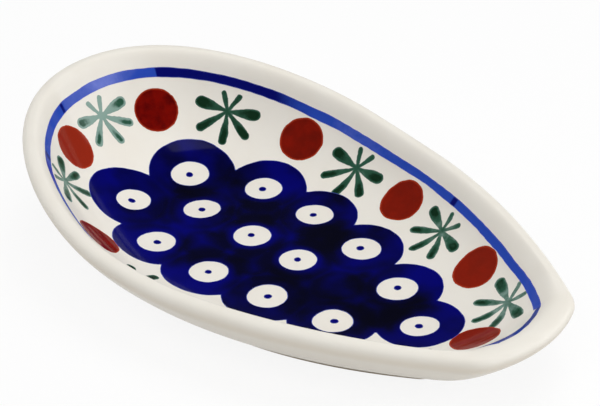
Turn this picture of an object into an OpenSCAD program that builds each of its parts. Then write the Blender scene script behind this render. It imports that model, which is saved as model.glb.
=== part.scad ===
// Spoon rest: an oval dish of glazed stoneware with a tall rounded back and a low flat end,
// where the handle of the spoon lies. X runs along the dish towards the flat end, Y runs
// across it and Z runs up from the table. Lengths are in millimetres.

/* [Outline] */
// Length from the round back to the flat end
dish_length = 127.9; // [121:0.1:135]
// Greatest width of the dish
dish_width = 78.7; // [74:0.1:83]
// Place of the greatest width along the dish, measured from the round back
widest_share = 0.386; // [0.375:0.001:0.4]
// Width of the flat end before its corners are rounded
flat_end_width = 22.4; // [19.5:0.1:25.5]
// Radius of the two corners of the flat end
end_corner_radius = 8; // [7.6:0.1:8.3]
// How far the two corners reach back from the tip of the flat end
end_corner_reach = 5.28; // [5.2:0.01:5.4]
// Exponents of the rounded back, along the dish and across it
back_curve_along = 1.79; // [1.7:0.01:1.9]
back_curve_across = 2.08; // [2:0.01:2.15]

/* [Rim] */
// Height of the rim at the round back
back_height = 26.7; // [24:0.1:29]
// Height of the rim along the sides and at the flat end
lip_height = 15.9; // [14.5:0.1:17.5]
// Place where the rim starts to rise, measured from the round back
rise_share = 0.55; // [0.52:0.002:0.58]
// How early the rise of the rim gathers pace
rise_ease = 1.9; // [1.6:0.05:2.1]
// Thickness of the wall at the rim, glaze included
rim_thickness = 4.66; // [4.2:0.02:5]
// Depth of the broad lip at the flat end, from its ridge inwards
end_lip_depth = 4.6; // [3.8:0.1:4.8]
// Fall of that lip from its ridge to its inner edge
end_lip_fall = 2.05; // [1.7:0.05:2.3]
// Length over which the rim widens into that lip
end_lip_run = 14; // [12:0.5:17]
// Reach of that lip in the two corners of the flat end as a share of their radius
corner_lip_share = 0.96; // [0.9:0.01:0.98]

/* [Bowl and wall] */
// Height of the bowl's floor above the table
floor_height = 4.43; // [4.2:0.01:5]
// Place of the bowl's lowest point, measured from the round back
low_point_share = 0.536; // [0.52:0.001:0.55]
// Exponent of the bowl's section, a higher one gives a flatter floor
bowl_curve = 6; // [5:0.1:7]
// Size of the foot's outline as a share of the rim's outline
foot_size_share = 0.644; // [0.62:0.002:0.66]
// Shift of the foot towards the flat end
foot_shift = 4.33; // [3.6:0.01:5]
// How far the outer wall leans in halfway down, and how high its belly sits
wall_lean_share = 0.438; // [0.4:0.001:0.47]
wall_belly_share = 0.302; // [0.25:0.001:0.33]
// How much lower the belly sits under the raised back
back_belly_share = 0.333; // [0.29:0.001:0.35]

/* [Foot] */
// Height of the upright foot under the wall
foot_height = 1.6; // [1.5:0.02:1.8]
// Size of the hollow inside the foot as a share of the foot's outline
hollow_size_share = 0.875; // [0.84:0.005:0.9]
// Depth of the hollow inside the ring
foot_hollow_depth = 1.3; // [1.1:0.02:1.4]
// Bare height at the bottom of the foot, kept free of glaze
bare_foot_height = 0.7; // [0.5:0.02:0.9]
// Softened bottom edge of the foot
foot_edge_round = 0.35; // [0.25:0.01:0.45]

/* [Glaze and colours] */
// Thickness of the glaze
glaze_thickness = 0.5; // [0.4:0.01:0.6]
// Top edge of the cobalt band, measured down from the top of the rim, and its height
band_top_drop = 3; // [2.8:0.02:3.1]
band_height = 1.5; // [1.3:0.02:1.8]
// How much lower and higher the band is under the raised back, and the run to get there
back_band_drop = 0.55; // [0.3:0.01:0.7]
back_band_height = 0.4; // [0.2:0.01:0.5]
back_band_run = 32; // [28:0.5:40]
// Top edge and height of the fine line that replaces the band at the flat end
end_line_drop = 2.4; // [2.35:0.01:2.6]
end_line_height = 0.55; // [0.4:0.01:0.7]
// Radius of the cobalt disc as shares of the dish's length and width, the smaller one counts
disc_length_share = 0.0696; // [0.0692:0.0001:0.07]
disc_width_share = 0.1131; // [0.1125:0.0001:0.1137]
// Radii of the white eye and of the dot inside it as shares of the disc's radius
eye_size_share = 0.43; // [0.41:0.005:0.45]
pupil_size_share = 0.075; // [0.06:0.005:0.1]
// Radius of the dabs that close the gaps between the discs as a share of the disc's radius
dab_size_share = 0.76; // [0.75:0.005:0.78]
// Radius of the rust dots of the border
rust_dot_radius = 4.86; // [4.5:0.02:5.1]
// Distance of the rust dots and of the green sprigs from the outer edge of the rim
rust_dot_inset = 10; // [9.7:0.1:10.6]
sprig_inset = 9.3; // [9:0.1:9.8]
// Distance of the rust dot in the middle of the flat end from that end
end_dot_inset = 16; // [15.4:0.1:16.6]
// Lengths of the sprig's strokes, thin, fat and slim
thin_stroke_length = 4.4; // [4:0.1:4.6]
fat_petal_length = 6.9; // [6.4:0.1:7.2]
slim_petal_length = 7.3; // [6.6:0.1:7.5]
// Widths of the same three at their broad ends and of all strokes at the middle
thin_stroke_width = 1; // [0.8:0.05:1.2]
fat_petal_width = 2.3; // [2:0.05:2.6]
slim_petal_width = 1.8; // [1.5:0.05:2]
stroke_root_width = 0.6; // [0.5:0.02:0.8]

/* [Hidden] */

// Steps round the outline: end, corner, side and back of one half
end_steps = 3;
corner_steps = 3;
side_steps = 8;
back_steps = 12;
// Shares of the way from the low point to the band's lower edge
floor_shares = [0.35, 0.53, 0.67, 0.78, 0.87, 0.94];
// Angles round the rim's section, from the bowl side over the top to the outside
rim_inner_angles = [135, 90];
rim_outer_angles = [60, 30, 0];
// Shares of the way down the outer wall
wall_shares = [0.24, 0.48, 0.74, 1];
// Facets of the stamped shapes
disc_facets = 24;
eye_facets = 16;
dab_facets = 12;
dot_facets = 18;
tip_facets = 6;
root_facets = 4;
pupil_facets = 6;

// Places of the border stamps: shares of the way round the rim from the middle of the
// flat end, going first along the side with positive Y
rust_dot_shares = [0.123, 0.219, 0.324, 0.451, 0.561, 0.659, 0.773, 0.882];
sprig_shares = [0.081, 0.17, 0.265, 0.387, 0.507, 0.606, 0.717, 0.812, 0.921];
// Places of the eyes from the middle of the dish as shares of the disc's radius
eye_shares = [[3.97, -0.12], [2.65, 0.65], [2.46, -1.23], [0.99, 1.29], [0.75, -1.51],
              [-0.79, 1.61], [-0.88, -1.73], [-2.44, 1.57], [-2.57, -1.76], [-4.07, 0.7],
              [-4.13, -1.07], [-2.89, -0.03], [-1.23, -0.01], [0.24, -0.01]];
// Places of the dabs between the discs, in the same shares
dab_shares = [[2.97, -0.33], [1.61, -0.17], [0.01, 0.98], [-0.48, -0.76], [-1.74, -1.01],
              [-1.82, 0.79]];
// Strokes of one sprig: angle from the direction of the rim, kind of stroke
thin_stroke_angles = [-25, 27];
fat_petal_angles = [-84, 86];
slim_petal_angles = [-136, 174, 131];

// Derived lengths
start_x = -dish_length / 2;
end_x = dish_length / 2;
widest_x = start_x + dish_length * widest_share;
back_run = widest_x - start_x;
front_run = end_x - widest_x;
side_half = dish_width / 2;
end_half = flat_end_width / 2;
rise_x = start_x + dish_length * rise_share;
low_x = start_x + dish_length * low_point_share;
rim_radius = rim_thickness / 2;
probe_step = dish_length / 600;
stamp_sink = glaze_thickness * 1.3;
stamp_rise = glaze_thickness * 7;
stamp_skin = glaze_thickness / 25;
disc_radius = min(dish_length * disc_length_share, dish_width * disc_width_share);
eye_radius = disc_radius * eye_size_share;
pupil_radius = disc_radius * pupil_size_share;
dab_radius = disc_radius * dab_size_share;

// Flat end: a shallow arc, and a corner arc that meets it and the side without a kink
side_start_x = end_x - end_corner_reach;
side_start_share = (side_start_x - widest_x) / front_run;
side_start_y = side_half - (side_half - end_half) * pow(side_start_share, 2);
end_slope = atan(2 * (side_half - end_half) / front_run * side_start_share);
corner_middle = [side_start_x, side_start_y] - end_corner_radius * [sin(end_slope), cos(end_slope)];
corner_back = end_x - corner_middle[0];
end_bow_radius = (pow(corner_back, 2) + pow(corner_middle[1], 2) - pow(end_corner_radius, 2))
    / (2 * (corner_back - end_corner_radius));
bow_middle = [end_x - end_bow_radius, 0];
bow_turn = atan(corner_middle[1] / (end_bow_radius - corner_back));
corner_turn = 90 - end_slope - bow_turn;

function on_arc(middle, radius, angle) = middle + radius * [cos(angle), sin(angle)];

function half_width(x) =
    x < widest_x
    ? side_half * pow(max(1 - pow((widest_x - x) / back_run, back_curve_along), 0), 1 / back_curve_across)
    : side_half - (side_half - end_half) * pow((x - widest_x) / front_run, 2);

// One half of the outline, from the middle of the flat end round to the tip of the back
half_outline = concat(
    [for (k = [0 : end_steps - 1]) on_arc(bow_middle, end_bow_radius, bow_turn * k / end_steps)],
    [for (k = [0 : corner_steps])
        on_arc(corner_middle, end_corner_radius, bow_turn + corner_turn * k / corner_steps)],
    [for (k = [1 : side_steps])
        let (x = side_start_x + (widest_x - side_start_x) * k / side_steps) [x, half_width(x)]],
    [for (k = [1 : back_steps])
        let (x = widest_x - back_run * sin(90 * k / back_steps)) [x, half_width(x)]]);
half_count = len(half_outline);
// Column at which the band gives way to the fine line, in each corner
line_end = end_steps;
line_start_x = half_outline[line_end][0];
outline = concat(half_outline,
    [for (k = [half_count - 2 : -1 : 1]) [half_outline[k][0], -half_outline[k][1]]]);
columns = len(outline);

function unit(v) = v / norm(v);
function outward(a, b) = unit([b[1] - a[1], a[0] - b[0]]);
normals = [for (c = [0 : columns - 1])
    let (before = outline[(c + columns - 1) % columns],
         here = outline[c],
         after = outline[(c + 1) % columns])
    unit(outward(before, here) + outward(here, after))];

// Rim height and the shape of the rim's inner side at each place along the dish
function clamped(t) = min(max(t, 0), 1);
function rim_height(x) =
    let (t = clamped((rise_x - x) / (rise_x - start_x)))
    lip_height + (back_height - lip_height) * t * t * (rise_ease - (rise_ease - 1) * t);
function lip_blend(x) =
    let (t = clamped((x - end_x + end_lip_run) / end_lip_run)) t * t * (3 - 2 * t);
function inner_run(x) = rim_radius + (end_lip_depth - rim_radius) * lip_blend(x);
function inner_fall(x) = rim_radius + (end_lip_fall - rim_radius) * lip_blend(x);
function line_blend(x) = clamped((x - side_start_x) / (line_start_x - side_start_x));
function back_blend(x) = clamped((rise_x - x) / back_band_run);
function top_drop(x) = band_top_drop + back_band_drop * back_blend(x)
    + (end_line_drop - band_top_drop) * lip_blend(x);
function bottom_drop(x) = top_drop(x) + band_height + back_band_height * back_blend(x)
    + (end_line_height - band_height) * line_blend(x);

// The same run at one column, held back in the corners so that neighbours don't cross
function in_corner(c) =
    let (k = min(c, columns - c)) k >= end_steps && k <= end_steps + corner_steps;
function run_at(c) =
    let (full = inner_run(outline[c][0]))
    in_corner(c) ? min(full, end_corner_radius * corner_lip_share - rim_radius) : full;

// Inner edge of the rim, for a surface sunk below the glaze by the given skin
function edge_point(c, skin) =
    outline[c] - normals[c] * (rim_radius + run_at(c) - skin);
function edge_z(c) = rim_height(outline[c][0]) - inner_fall(outline[c][0]);

// Share of the way out from the low point at which the bowl is a given drop below the rim
function share_at_drop(c, drop) =
    pow((rim_height(outline[c][0]) - drop - floor_height) / (edge_z(c) - floor_height), 1 / bowl_curve);

// A point of the bowl on a line from the low point to the rim's inner edge
function bowl_point(c, share, skin) =
    let (e = edge_point(c, skin), low = floor_height - skin)
    [low_x + (e[0] - low_x) * share, e[1] * share,
     low + (edge_z(c) - low) * pow(share, bowl_curve)];

// A point of the rim's section at a given angle, the outside at zero
function rim_point(c, angle, skin) =
    let (x = outline[c][0],
         across = (angle > 90 ? run_at(c) : rim_radius) - skin,
         rise = (angle > 90 ? inner_fall(x) : rim_radius) - skin,
         base = rim_height(x) - (angle > 90 ? inner_fall(x) : rim_radius),
         p = outline[c] + normals[c] * (across * cos(angle) - rim_radius))
    [p[0], p[1], base + rise * sin(angle)];

// A point of the outer wall, a curve from the rim in to the foot
function foot_point(c, inset) =
    outline[c] * foot_size_share + [foot_shift, 0] - normals[c] * inset;
function hollow_point(c) =
    outline[c] * foot_size_share * hollow_size_share + [foot_shift, 0];
function wall_point(c, t, skin) =
    let (w = 2 * t * (1 - t) * wall_lean_share + t * t,
         p = (outline[c] - normals[c] * skin) * (1 - w) + foot_point(c, skin) * w,
         top = rim_height(outline[c][0]) - rim_radius,
         raised = (top + rim_radius - lip_height) / (back_height - lip_height),
         belly = foot_height + (wall_belly_share - back_belly_share * raised) * (top - foot_height))
    [p[0], p[1],
     pow(1 - t, 2) * top + 2 * t * (1 - t) * belly + t * t * foot_height + skin * t * t];
function level(p, z) = [p[0], p[1], z];

// Rows of points from the low point over the rim and down to the foot
floor_rows = len(floor_shares);
band_row = floor_rows;
function skin_rows(skin) = concat(
    [for (s = floor_shares) [for (c = [0 : columns - 1])
        bowl_point(c, s * share_at_drop(c, bottom_drop(outline[c][0])), skin)]],
    [[for (c = [0 : columns - 1])
        bowl_point(c, share_at_drop(c, bottom_drop(outline[c][0])), skin)]],
    [[for (c = [0 : columns - 1])
        bowl_point(c, share_at_drop(c, top_drop(outline[c][0])), skin)]],
    [[for (c = [0 : columns - 1]) bowl_point(c, 1, skin)]],
    [for (a = rim_inner_angles) [for (c = [0 : columns - 1]) rim_point(c, a, skin)]],
    [for (a = rim_outer_angles) [for (c = [0 : columns - 1]) rim_point(c, a, skin)]],
    [for (t = wall_shares) [for (c = [0 : columns - 1]) wall_point(c, t, skin)]],
    [[for (c = [0 : columns - 1]) level(foot_point(c, skin), bare_foot_height)]]);
outer_rows = skin_rows(0);
inner_rows = skin_rows(glaze_thickness);
rows = len(outer_rows);

function flat_list(lists) = [for (l = lists) for (p = l) p];
function at(r, c) = 1 + r * columns + c % columns;

// The clay: the inner rows, closed below by the foot ring and its hollow
clay_rows = concat(inner_rows, [
    [for (c = [0 : columns - 1])
        level(foot_point(c, glaze_thickness + foot_edge_round), 0)],
    [for (c = [0 : columns - 1])
        level(hollow_point(c), 0)],
    [for (c = [0 : columns - 1])
        level(hollow_point(c), foot_hollow_depth)]]);
clay_points = concat([[low_x, 0, floor_height - glaze_thickness]], flat_list(clay_rows),
    [[foot_shift, 0, foot_hollow_depth]]);
clay_last = len(clay_points) - 1;
clay_faces = concat(
    [for (c = [0 : columns - 1]) [0, at(0, c + 1), at(0, c)]],
    [for (r = [0 : len(clay_rows) - 2]) for (c = [0 : columns - 1])
        each [[at(r, c), at(r, c + 1), at(r + 1, c + 1)], [at(r, c), at(r + 1, c + 1), at(r + 1, c)]]],
    [for (c = [0 : columns - 1])
        [at(len(clay_rows) - 1, c), at(len(clay_rows) - 1, c + 1), clay_last]]);

// The glaze: cells between the outer and the inner rows. The row that is left out makes a
// slot, which the band and the fine line fill
shell = 1 + rows * columns;
shell_points = concat([[low_x, 0, floor_height]], flat_list(outer_rows),
    [[low_x, 0, floor_height - glaze_thickness]], flat_list(inner_rows));
function in_line(c) = c % columns < line_end || c % columns >= columns - line_end;
function in_band(r, c) = r == band_row && !in_line(c);
function in_end_line(r, c) = r == band_row && in_line(c);
function in_coat(r, c) = r >= 0 && r < rows - 1 && r != band_row;

function cell_faces(r, c, down, up, left, right) =
    let (a = at(r, c), b = at(r, c + 1), d = at(r + 1, c), e = at(r + 1, c + 1), s = shell)
    concat(
        [[a, b, e], [a, e, d], [a + s, e + s, b + s], [a + s, d + s, e + s]],
        down ? [[b, a, b + s], [a, a + s, b + s]] : [],
        up ? [[d, e, e + s], [d, e + s, d + s]] : [],
        left ? [[a, d, d + s], [a, d + s, a + s]] : [],
        right ? [[e, b, e + s], [b, b + s, e + s]] : []);

module stoneware_body() {
    color([0.80, 0.73, 0.64])
    polyhedron(clay_points, clay_faces);
}

module coat_layer() {
    polyhedron(shell_points, concat(
        [for (c = [0 : columns - 1])
            each [[0, at(0, c + 1), at(0, c)], [shell, shell + at(0, c), shell + at(0, c + 1)]]],
        [for (r = [0 : rows - 2]) for (c = [0 : columns - 1])
            if (in_coat(r, c))
                each cell_faces(r, c, r > 0 && !in_coat(r - 1, c), !in_coat(r + 1, c), false, false)]));
}

module rim_band() {
    color([0.10, 0.16, 0.60])
    polyhedron(shell_points,
        [for (c = [columns - line_end - 1 : -1 : line_end])
            each cell_faces(band_row, c, true, true, c == line_end, c == columns - line_end - 1)]);
}

module end_line() {
    color([0.06, 0.08, 0.42])
    polyhedron(shell_points,
        [for (k = [-line_end : line_end - 1])
            each cell_faces(band_row, (k + columns) % columns, true, true,
                k == -line_end, k == line_end - 1)]);
}

module base_glaze() {
    color([0.88, 0.86, 0.82])
    translate([0, 0, foot_hollow_depth - glaze_thickness])
    linear_extrude(glaze_thickness)
    polygon([for (c = [0 : columns - 1]) hollow_point(c)]);
}

// Height of the bowl and the way it faces at any place seen from above
function turn_of(p) = let (a = atan2(p[1], p[0] - low_x)) a < 0 ? a + 360 : a;
edge_lengths = [for (c = [0 : columns]) let (e = edge_point(c % columns, 0))
    [c == columns ? 360 : turn_of(e), norm(e - [low_x, 0])]];
edge_heights = [for (c = [0 : columns]) let (e = edge_point(c % columns, 0))
    [c == columns ? 360 : turn_of(e), edge_z(c % columns)]];
function bowl_z(p) =
    let (a = turn_of(p), share = norm(p - [low_x, 0]) / lookup(a, edge_lengths))
    floor_height + (lookup(a, edge_heights) - floor_height) * pow(share, bowl_curve);
function bowl_facing(p) =
    let (dx = bowl_z(p + [probe_step, 0]) - bowl_z(p - [probe_step, 0]),
         dy = bowl_z(p + [0, probe_step]) - bowl_z(p - [0, probe_step]))
    unit([-dx, -dy, 2 * probe_step]);

// Places and directions along the rim by the share of the way round it
steps_round = [for (c = [0 : columns - 1]) norm(outline[(c + 1) % columns] - outline[c])];
function sum_to(list, n, k = 0) = k >= n ? 0 : list[k] + sum_to(list, n, k + 1);
girth = sum_to(steps_round, columns);
round_shares = [for (c = [0 : columns]) sum_to(steps_round, c) / girth];
function along_rim(values, share, axis) =
    lookup(share, [for (c = [0 : columns]) [round_shares[c], values[c % columns][axis]]]);
function rim_place(share) = [along_rim(outline, share, 0), along_rim(outline, share, 1)];
function rim_facing(share) = unit([along_rim(normals, share, 0), along_rim(normals, share, 1)]);

// Stands its children on the bowl, their Y axis pointing at the rim
module pressed(place, towards) {
    n = bowl_facing(place);
    t = [towards[0], towards[1], 0];
    y = unit(t - n * (n * t));
    x = cross(y, n);
    multmatrix([[x[0], y[0], n[0], place[0]],
                [x[1], y[1], n[1], place[1]],
                [x[2], y[2], n[2], bowl_z(place)],
                [0, 0, 0, 1]])
    children();
}

module stamp(radius, facets) {
    hull() {
        translate([0, 0, -stamp_sink])
        cylinder(r = radius, h = stamp_skin, $fn = facets);
        translate([0, 0, stamp_rise])
        cylinder(r = radius, h = stamp_skin, $fn = facets);
    }
}

module stroke(angle, length, width) {
    rotate([0, 0, -angle])
    hull() {
        translate([0, 0, -stamp_sink])
        cylinder(d = stroke_root_width, h = stamp_sink + stamp_rise, $fn = root_facets);
        translate([0, length - width / 2, -stamp_sink])
        cylinder(d = width, h = stamp_sink + stamp_rise, $fn = tip_facets);
    }
}

module at_places(shares) {
    for (p = shares) {
        pressed(p * disc_radius, [1, 0])
        children();
    }
}

module disc_stamps() {
    difference() {
        union() {
            at_places(eye_shares)
            stamp(disc_radius, disc_facets);
            at_places(dab_shares)
            stamp(dab_radius, dab_facets);
        }
        at_places(eye_shares)
        stamp(eye_radius, eye_facets);
    }
}

module pupil_stamps() {
    at_places(eye_shares)
    stamp(pupil_radius, pupil_facets);
}

module dot_stamps() {
    for (s = rust_dot_shares) {
        pressed(rim_place(s) - rim_facing(s) * rust_dot_inset, rim_facing(s))
        stamp(rust_dot_radius, dot_facets);
    }
    pressed([end_x - end_dot_inset, 0], [1, 0])
    stamp(rust_dot_radius, dot_facets);
}

module sprig_stamps() {
    for (s = sprig_shares) {
        pressed(rim_place(s) - rim_facing(s) * sprig_inset, rim_facing(s)) {
            for (a = thin_stroke_angles) {
                stroke(a, thin_stroke_length, thin_stroke_width);
            }
            for (a = fat_petal_angles) {
                stroke(a, fat_petal_length, fat_petal_width);
            }
            for (a = slim_petal_angles) {
                stroke(a, slim_petal_length, slim_petal_width);
            }
        }
    }
}

module glaze_coat() {
    color([0.90, 0.88, 0.84])
    difference() {
        coat_layer();
        disc_stamps();
        pupil_stamps();
        dot_stamps();
        sprig_stamps();
    }
}

module eye_discs() {
    color([0.03, 0.04, 0.36])
    intersection() {
        coat_layer();
        disc_stamps();
    }
}

module eye_pupils() {
    color([0.03, 0.04, 0.30])
    intersection() {
        coat_layer();
        pupil_stamps();
    }
}

module rust_dots() {
    color([0.55, 0.14, 0.06])
    difference() {
        intersection() {
            coat_layer();
            dot_stamps();
        }
        disc_stamps();
    }
}

module green_sprigs() {
    color([0.14, 0.30, 0.22])
    difference() {
        intersection() {
            coat_layer();
            sprig_stamps();
        }
        disc_stamps();
        dot_stamps();
    }
}

stoneware_body();
glaze_coat();
base_glaze();
rim_band();
end_line();
eye_discs();
eye_pupils();
rust_dots();
green_sprigs();
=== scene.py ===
"""Spoon rest: an oval dish of glazed stoneware with a tall rounded back and a low flat end.

The glaze is shaped from named sizes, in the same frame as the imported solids, and the colours
are stamped and painted on it: discs with white eyes, a border of dots and sprigs, and a band
under the rim. Lengths are in metres.
"""

import math

import bpy
import numpy as np
from mathutils import Matrix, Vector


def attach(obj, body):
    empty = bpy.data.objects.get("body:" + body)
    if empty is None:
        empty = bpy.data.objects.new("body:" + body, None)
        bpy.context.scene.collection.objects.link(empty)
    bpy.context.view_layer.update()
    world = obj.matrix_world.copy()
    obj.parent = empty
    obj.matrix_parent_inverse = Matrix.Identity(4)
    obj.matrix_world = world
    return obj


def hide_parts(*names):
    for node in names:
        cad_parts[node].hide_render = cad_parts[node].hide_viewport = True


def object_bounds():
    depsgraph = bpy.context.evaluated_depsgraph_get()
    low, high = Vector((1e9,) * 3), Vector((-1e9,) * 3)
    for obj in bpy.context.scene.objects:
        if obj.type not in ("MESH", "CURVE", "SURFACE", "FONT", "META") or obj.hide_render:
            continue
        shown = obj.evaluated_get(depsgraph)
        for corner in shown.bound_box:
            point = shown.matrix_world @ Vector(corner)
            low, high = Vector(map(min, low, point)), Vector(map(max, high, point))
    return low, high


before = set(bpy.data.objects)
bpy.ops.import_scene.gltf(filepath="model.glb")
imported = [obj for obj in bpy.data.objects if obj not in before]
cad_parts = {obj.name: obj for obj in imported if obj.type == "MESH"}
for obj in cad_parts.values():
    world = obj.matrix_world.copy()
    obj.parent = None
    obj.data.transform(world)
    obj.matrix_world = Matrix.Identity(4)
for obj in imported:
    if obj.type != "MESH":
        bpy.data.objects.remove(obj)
CAD_LOW, CAD_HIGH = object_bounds()

bl_info = {
    "name": "Spoon Rest",
    "version": (1, 0, 0),
    "blender": (4, 5, 0),
    "location": "3D View > Sidebar > Spoon Rest",
    "description": "Dresses the packed solids of a stoneware spoon rest",
    "category": "Object",
}

MM = 0.001
BODY = "root"
# The curve of a screen's colours, which a rendered colour has to be free of
SHADE_STEPS = 255
KNEE, TOE_SLOPE, CURVE_LIFT, CURVE_POWER = 0.04045, 12.92, 0.055, 2.4


def shade(red, green, blue):
    """Turns a colour as a screen shows it, from 0 to 255, into the linear one that renders so."""
    linear = []
    for value in (red / SHADE_STEPS, green / SHADE_STEPS, blue / SHADE_STEPS):
        bent = ((value + CURVE_LIFT) / (1 + CURVE_LIFT)) ** CURVE_POWER
        linear.append(value / TOE_SLOPE if value <= KNEE else bent)
    return linear


# What a user can change

def number(name, description, value, low=0.0, high=10.0, precision=4, **kind):
    """A plain number, such as an exponent, or one with a unit of its own."""
    return bpy.props.FloatProperty(
        name=name, description=description, default=value, min=low, max=high, precision=precision, **kind
    )


def length(name, description, millimetres):
    """A length, given in millimetres and kept in metres."""
    return number(name, description, millimetres * MM, precision=5, unit="LENGTH")


def share(name, description, value, low=0.0):
    """A share of something else, at most 1."""
    return number(name, description, value, low, 1.0, subtype="FACTOR")


def angle(name, description, degrees):
    """An angle, given in degrees."""
    return number(name, description, math.radians(degrees), -math.pi, math.pi, subtype="ANGLE")


def power(name, description, watts):
    """The power of a light."""
    return number(name, description, watts, high=100.0, unit="POWER")


def colour(name, description, red, green, blue):
    """A colour, given as a screen shows it."""
    return bpy.props.FloatVectorProperty(
        name=name, description=description, default=shade(red, green, blue), subtype="COLOR", min=0, max=1
    )


class DishSizes(bpy.types.PropertyGroup):
    """Sizes of the dish itself."""

    long: length("Length", "From the round back to the flat end", (CAD_HIGH.x - CAD_LOW.x) / MM)
    wide: length("Width", "Greatest width", (CAD_HIGH.y - CAD_LOW.y) / MM)
    back_height: length("Back height", "Height of the rim at the round back", (CAD_HIGH.z - CAD_LOW.z) / MM)
    lip_height: length("Lip height", "Height of the rim along the sides and at the flat end", 15.9)
    widest_share: share("Widest place", "Place of the greatest width, from the back", 0.386)
    flat_end: length("Flat end", "Width of the flat end before its corners are rounded", 22.4)
    corner_radius: length("Corner radius", "Radius of the two corners of the flat end", 8)
    corner_reach: length("Corner reach", "How far the two corners reach back from the tip", 5.28)
    curve_along: number("Back curve along", "Exponent of the rounded back along the dish", 1.79)
    curve_across: number("Back curve across", "Exponent of the rounded back across the dish", 2.08)
    rise_share: share("Rise place", "Where the rim starts to rise, from the back", 0.55)
    rise_ease: number("Rise ease", "How early the rise gathers pace", 1.9)
    rim_thickness: length("Rim thickness", "Thickness of the wall at the rim", 4.66)
    lip_depth: length("Lip depth", "Depth of the broad lip at the flat end", 4.6)
    lip_fall: length("Lip fall", "Fall of that lip to its inner edge", 2.05)
    lip_run: length("Lip run", "Length over which the rim widens into the lip", 14)
    floor_height: length("Floor height", "Height of the bowl's floor", 4.43)
    low_share: share("Low place", "Place of the bowl's lowest point, from the back", 0.536)
    bowl_curve: number("Bowl curve", "Exponent of the bowl's section", 6.0)
    foot_share: share("Foot size", "Size of the foot's outline as a share of the rim's", 0.644)
    foot_shift: length("Foot shift", "Shift of the foot towards the flat end", 4.33)
    wall_lean: share("Wall lean", "How far the wall leans in halfway down", 0.438)
    wall_belly: share("Wall belly", "How high the belly of the wall sits", 0.302)
    back_belly: share("Back belly", "How much lower it sits under the raised back", 0.333)
    foot_height: length("Foot height", "Height of the upright foot", 1.6)
    hollow_share: share("Hollow size", "Size of the hollow as a share of the foot", 0.875)
    hollow_depth: length("Hollow depth", "Depth of the hollow inside the foot", 1.3)
    bare_height: length("Bare foot", "Bare height at the bottom of the foot", 0.7)
    foot_round: length("Foot edge", "Softened bottom edge of the foot", 0.35)
    glaze: length("Glaze", "Thickness of the glaze", 0.5)
    edge_fullness: number("Edge fullness", "How full the rim's inner edge is, 1 is a plain curve", 1.25)
    arris: number("Arris", "How square the rim's outer edge is, 2 is round", 2.6)


class PaintSizes(bpy.types.PropertyGroup):
    """Sizes of the painted and stamped colours."""

    band_top: length("Band top", "Top edge of the band, down from the rim", 3.0)
    band_height: length("Band height", "Height of the band along the sides", 1.5)
    back_drop: length("Band drop at the back", "How much lower the band is under the raised back", 0.55)
    back_height: length("Band height at the back", "How much higher the band is there", 0.4)
    back_run: length("Band run", "Length over which the band sinks and widens", 32)
    end_rise: length("Band rise", "Rise of the band towards the corners of the flat end", 1.85)
    end_run: length("Band rise run", "Length over which it rises", 20)
    line_start: share(
        "Line start", "Where the fine line starts on the rim's roll, far corner", -0.1, low=-1.0
    )
    line_climb: share("Line climb", "How much further up the roll it starts near the near corner", 0.25)
    line_reach: share("Line reach", "Share of the roll that it covers at the far corner", 0.2)
    line_growth: share("Line growth", "How much more of the roll it covers near the near corner", 0.28)
    line_width: length("Line width", "Width of the fine line", 1.3)
    disc: length("Disc radius", "Radius of the cobalt discs", 8.9)
    dab: length("Dab radius", "Radius of the dabs that close the gaps between the discs", 6.7)
    eye: length("Eye radius", "Radius of the white eye in each disc", 3.87)
    pupil: length("Pupil radius", "Radius of the dot in each eye", 0.76)
    dot: length("Dot radius", "Radius of the rust dots", 5.0)
    thin_stroke: length("Thin stroke", "Length of the sprig's thin strokes", 4.6)
    fat_petal: length("Fat petal", "Length of the sprig's fat petals", 7.3)
    slim_petal: length("Slim petal", "Length of the sprig's slim petals", 7.75)
    wobble: length("Wobble", "How far the painted edges wander", 0.07)


class PaintColours(bpy.types.PropertyGroup):
    """Colours of the clay, the glaze and the stains."""

    clay: colour("Clay", "Bare clay of the foot", 214, 200, 180)
    glaze: colour("Glaze", "White glaze", 232, 228, 219)
    # Thin glaze also gives the painted shade of the outer wall and of the arris line
    thin_glaze_and_shade: colour("Thin glaze", "Glaze where it thins over an edge", 220, 211, 196)
    cobalt: colour("Cobalt", "Cobalt of the discs", 0, 0, 106)
    deep_cobalt: colour("Deep cobalt", "Cobalt where two discs overlap", 0, 0, 14)
    cobalt_edge: colour("Cobalt edge", "Thin cobalt at the edge of a stamp", 86, 100, 200)
    band: colour("Band", "Painted band", 40, 72, 176)
    # Pale band: thin colour, and also the painted reflection on the band near the back
    band_pale_and_sheen: colour("Pale band", "Painted band where the colour is thin", 112, 126, 208)
    # Deep band: more colour from the brush, and also painted shade where the band mirrors no light
    band_deep_and_shade: colour("Deep band", "Painted band where the brush held more colour", 2, 6, 100)
    rust: colour("Rust", "Rust-red dots", 116, 6, 0)
    rust_deep: colour("Deep rust", "Middle of the darkest dots", 80, 0, 0)
    rust_pale: colour("Pale rust", "Edge of the rust-red dots", 178, 62, 34)
    green: colour("Green", "Dark ends of the petals", 14, 44, 26)
    green_mid: colour("Middle green", "Petals away from their ends", 44, 84, 66)
    green_pale: colour("Pale green", "Thin wash of the petals", 128, 156, 146)


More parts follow.
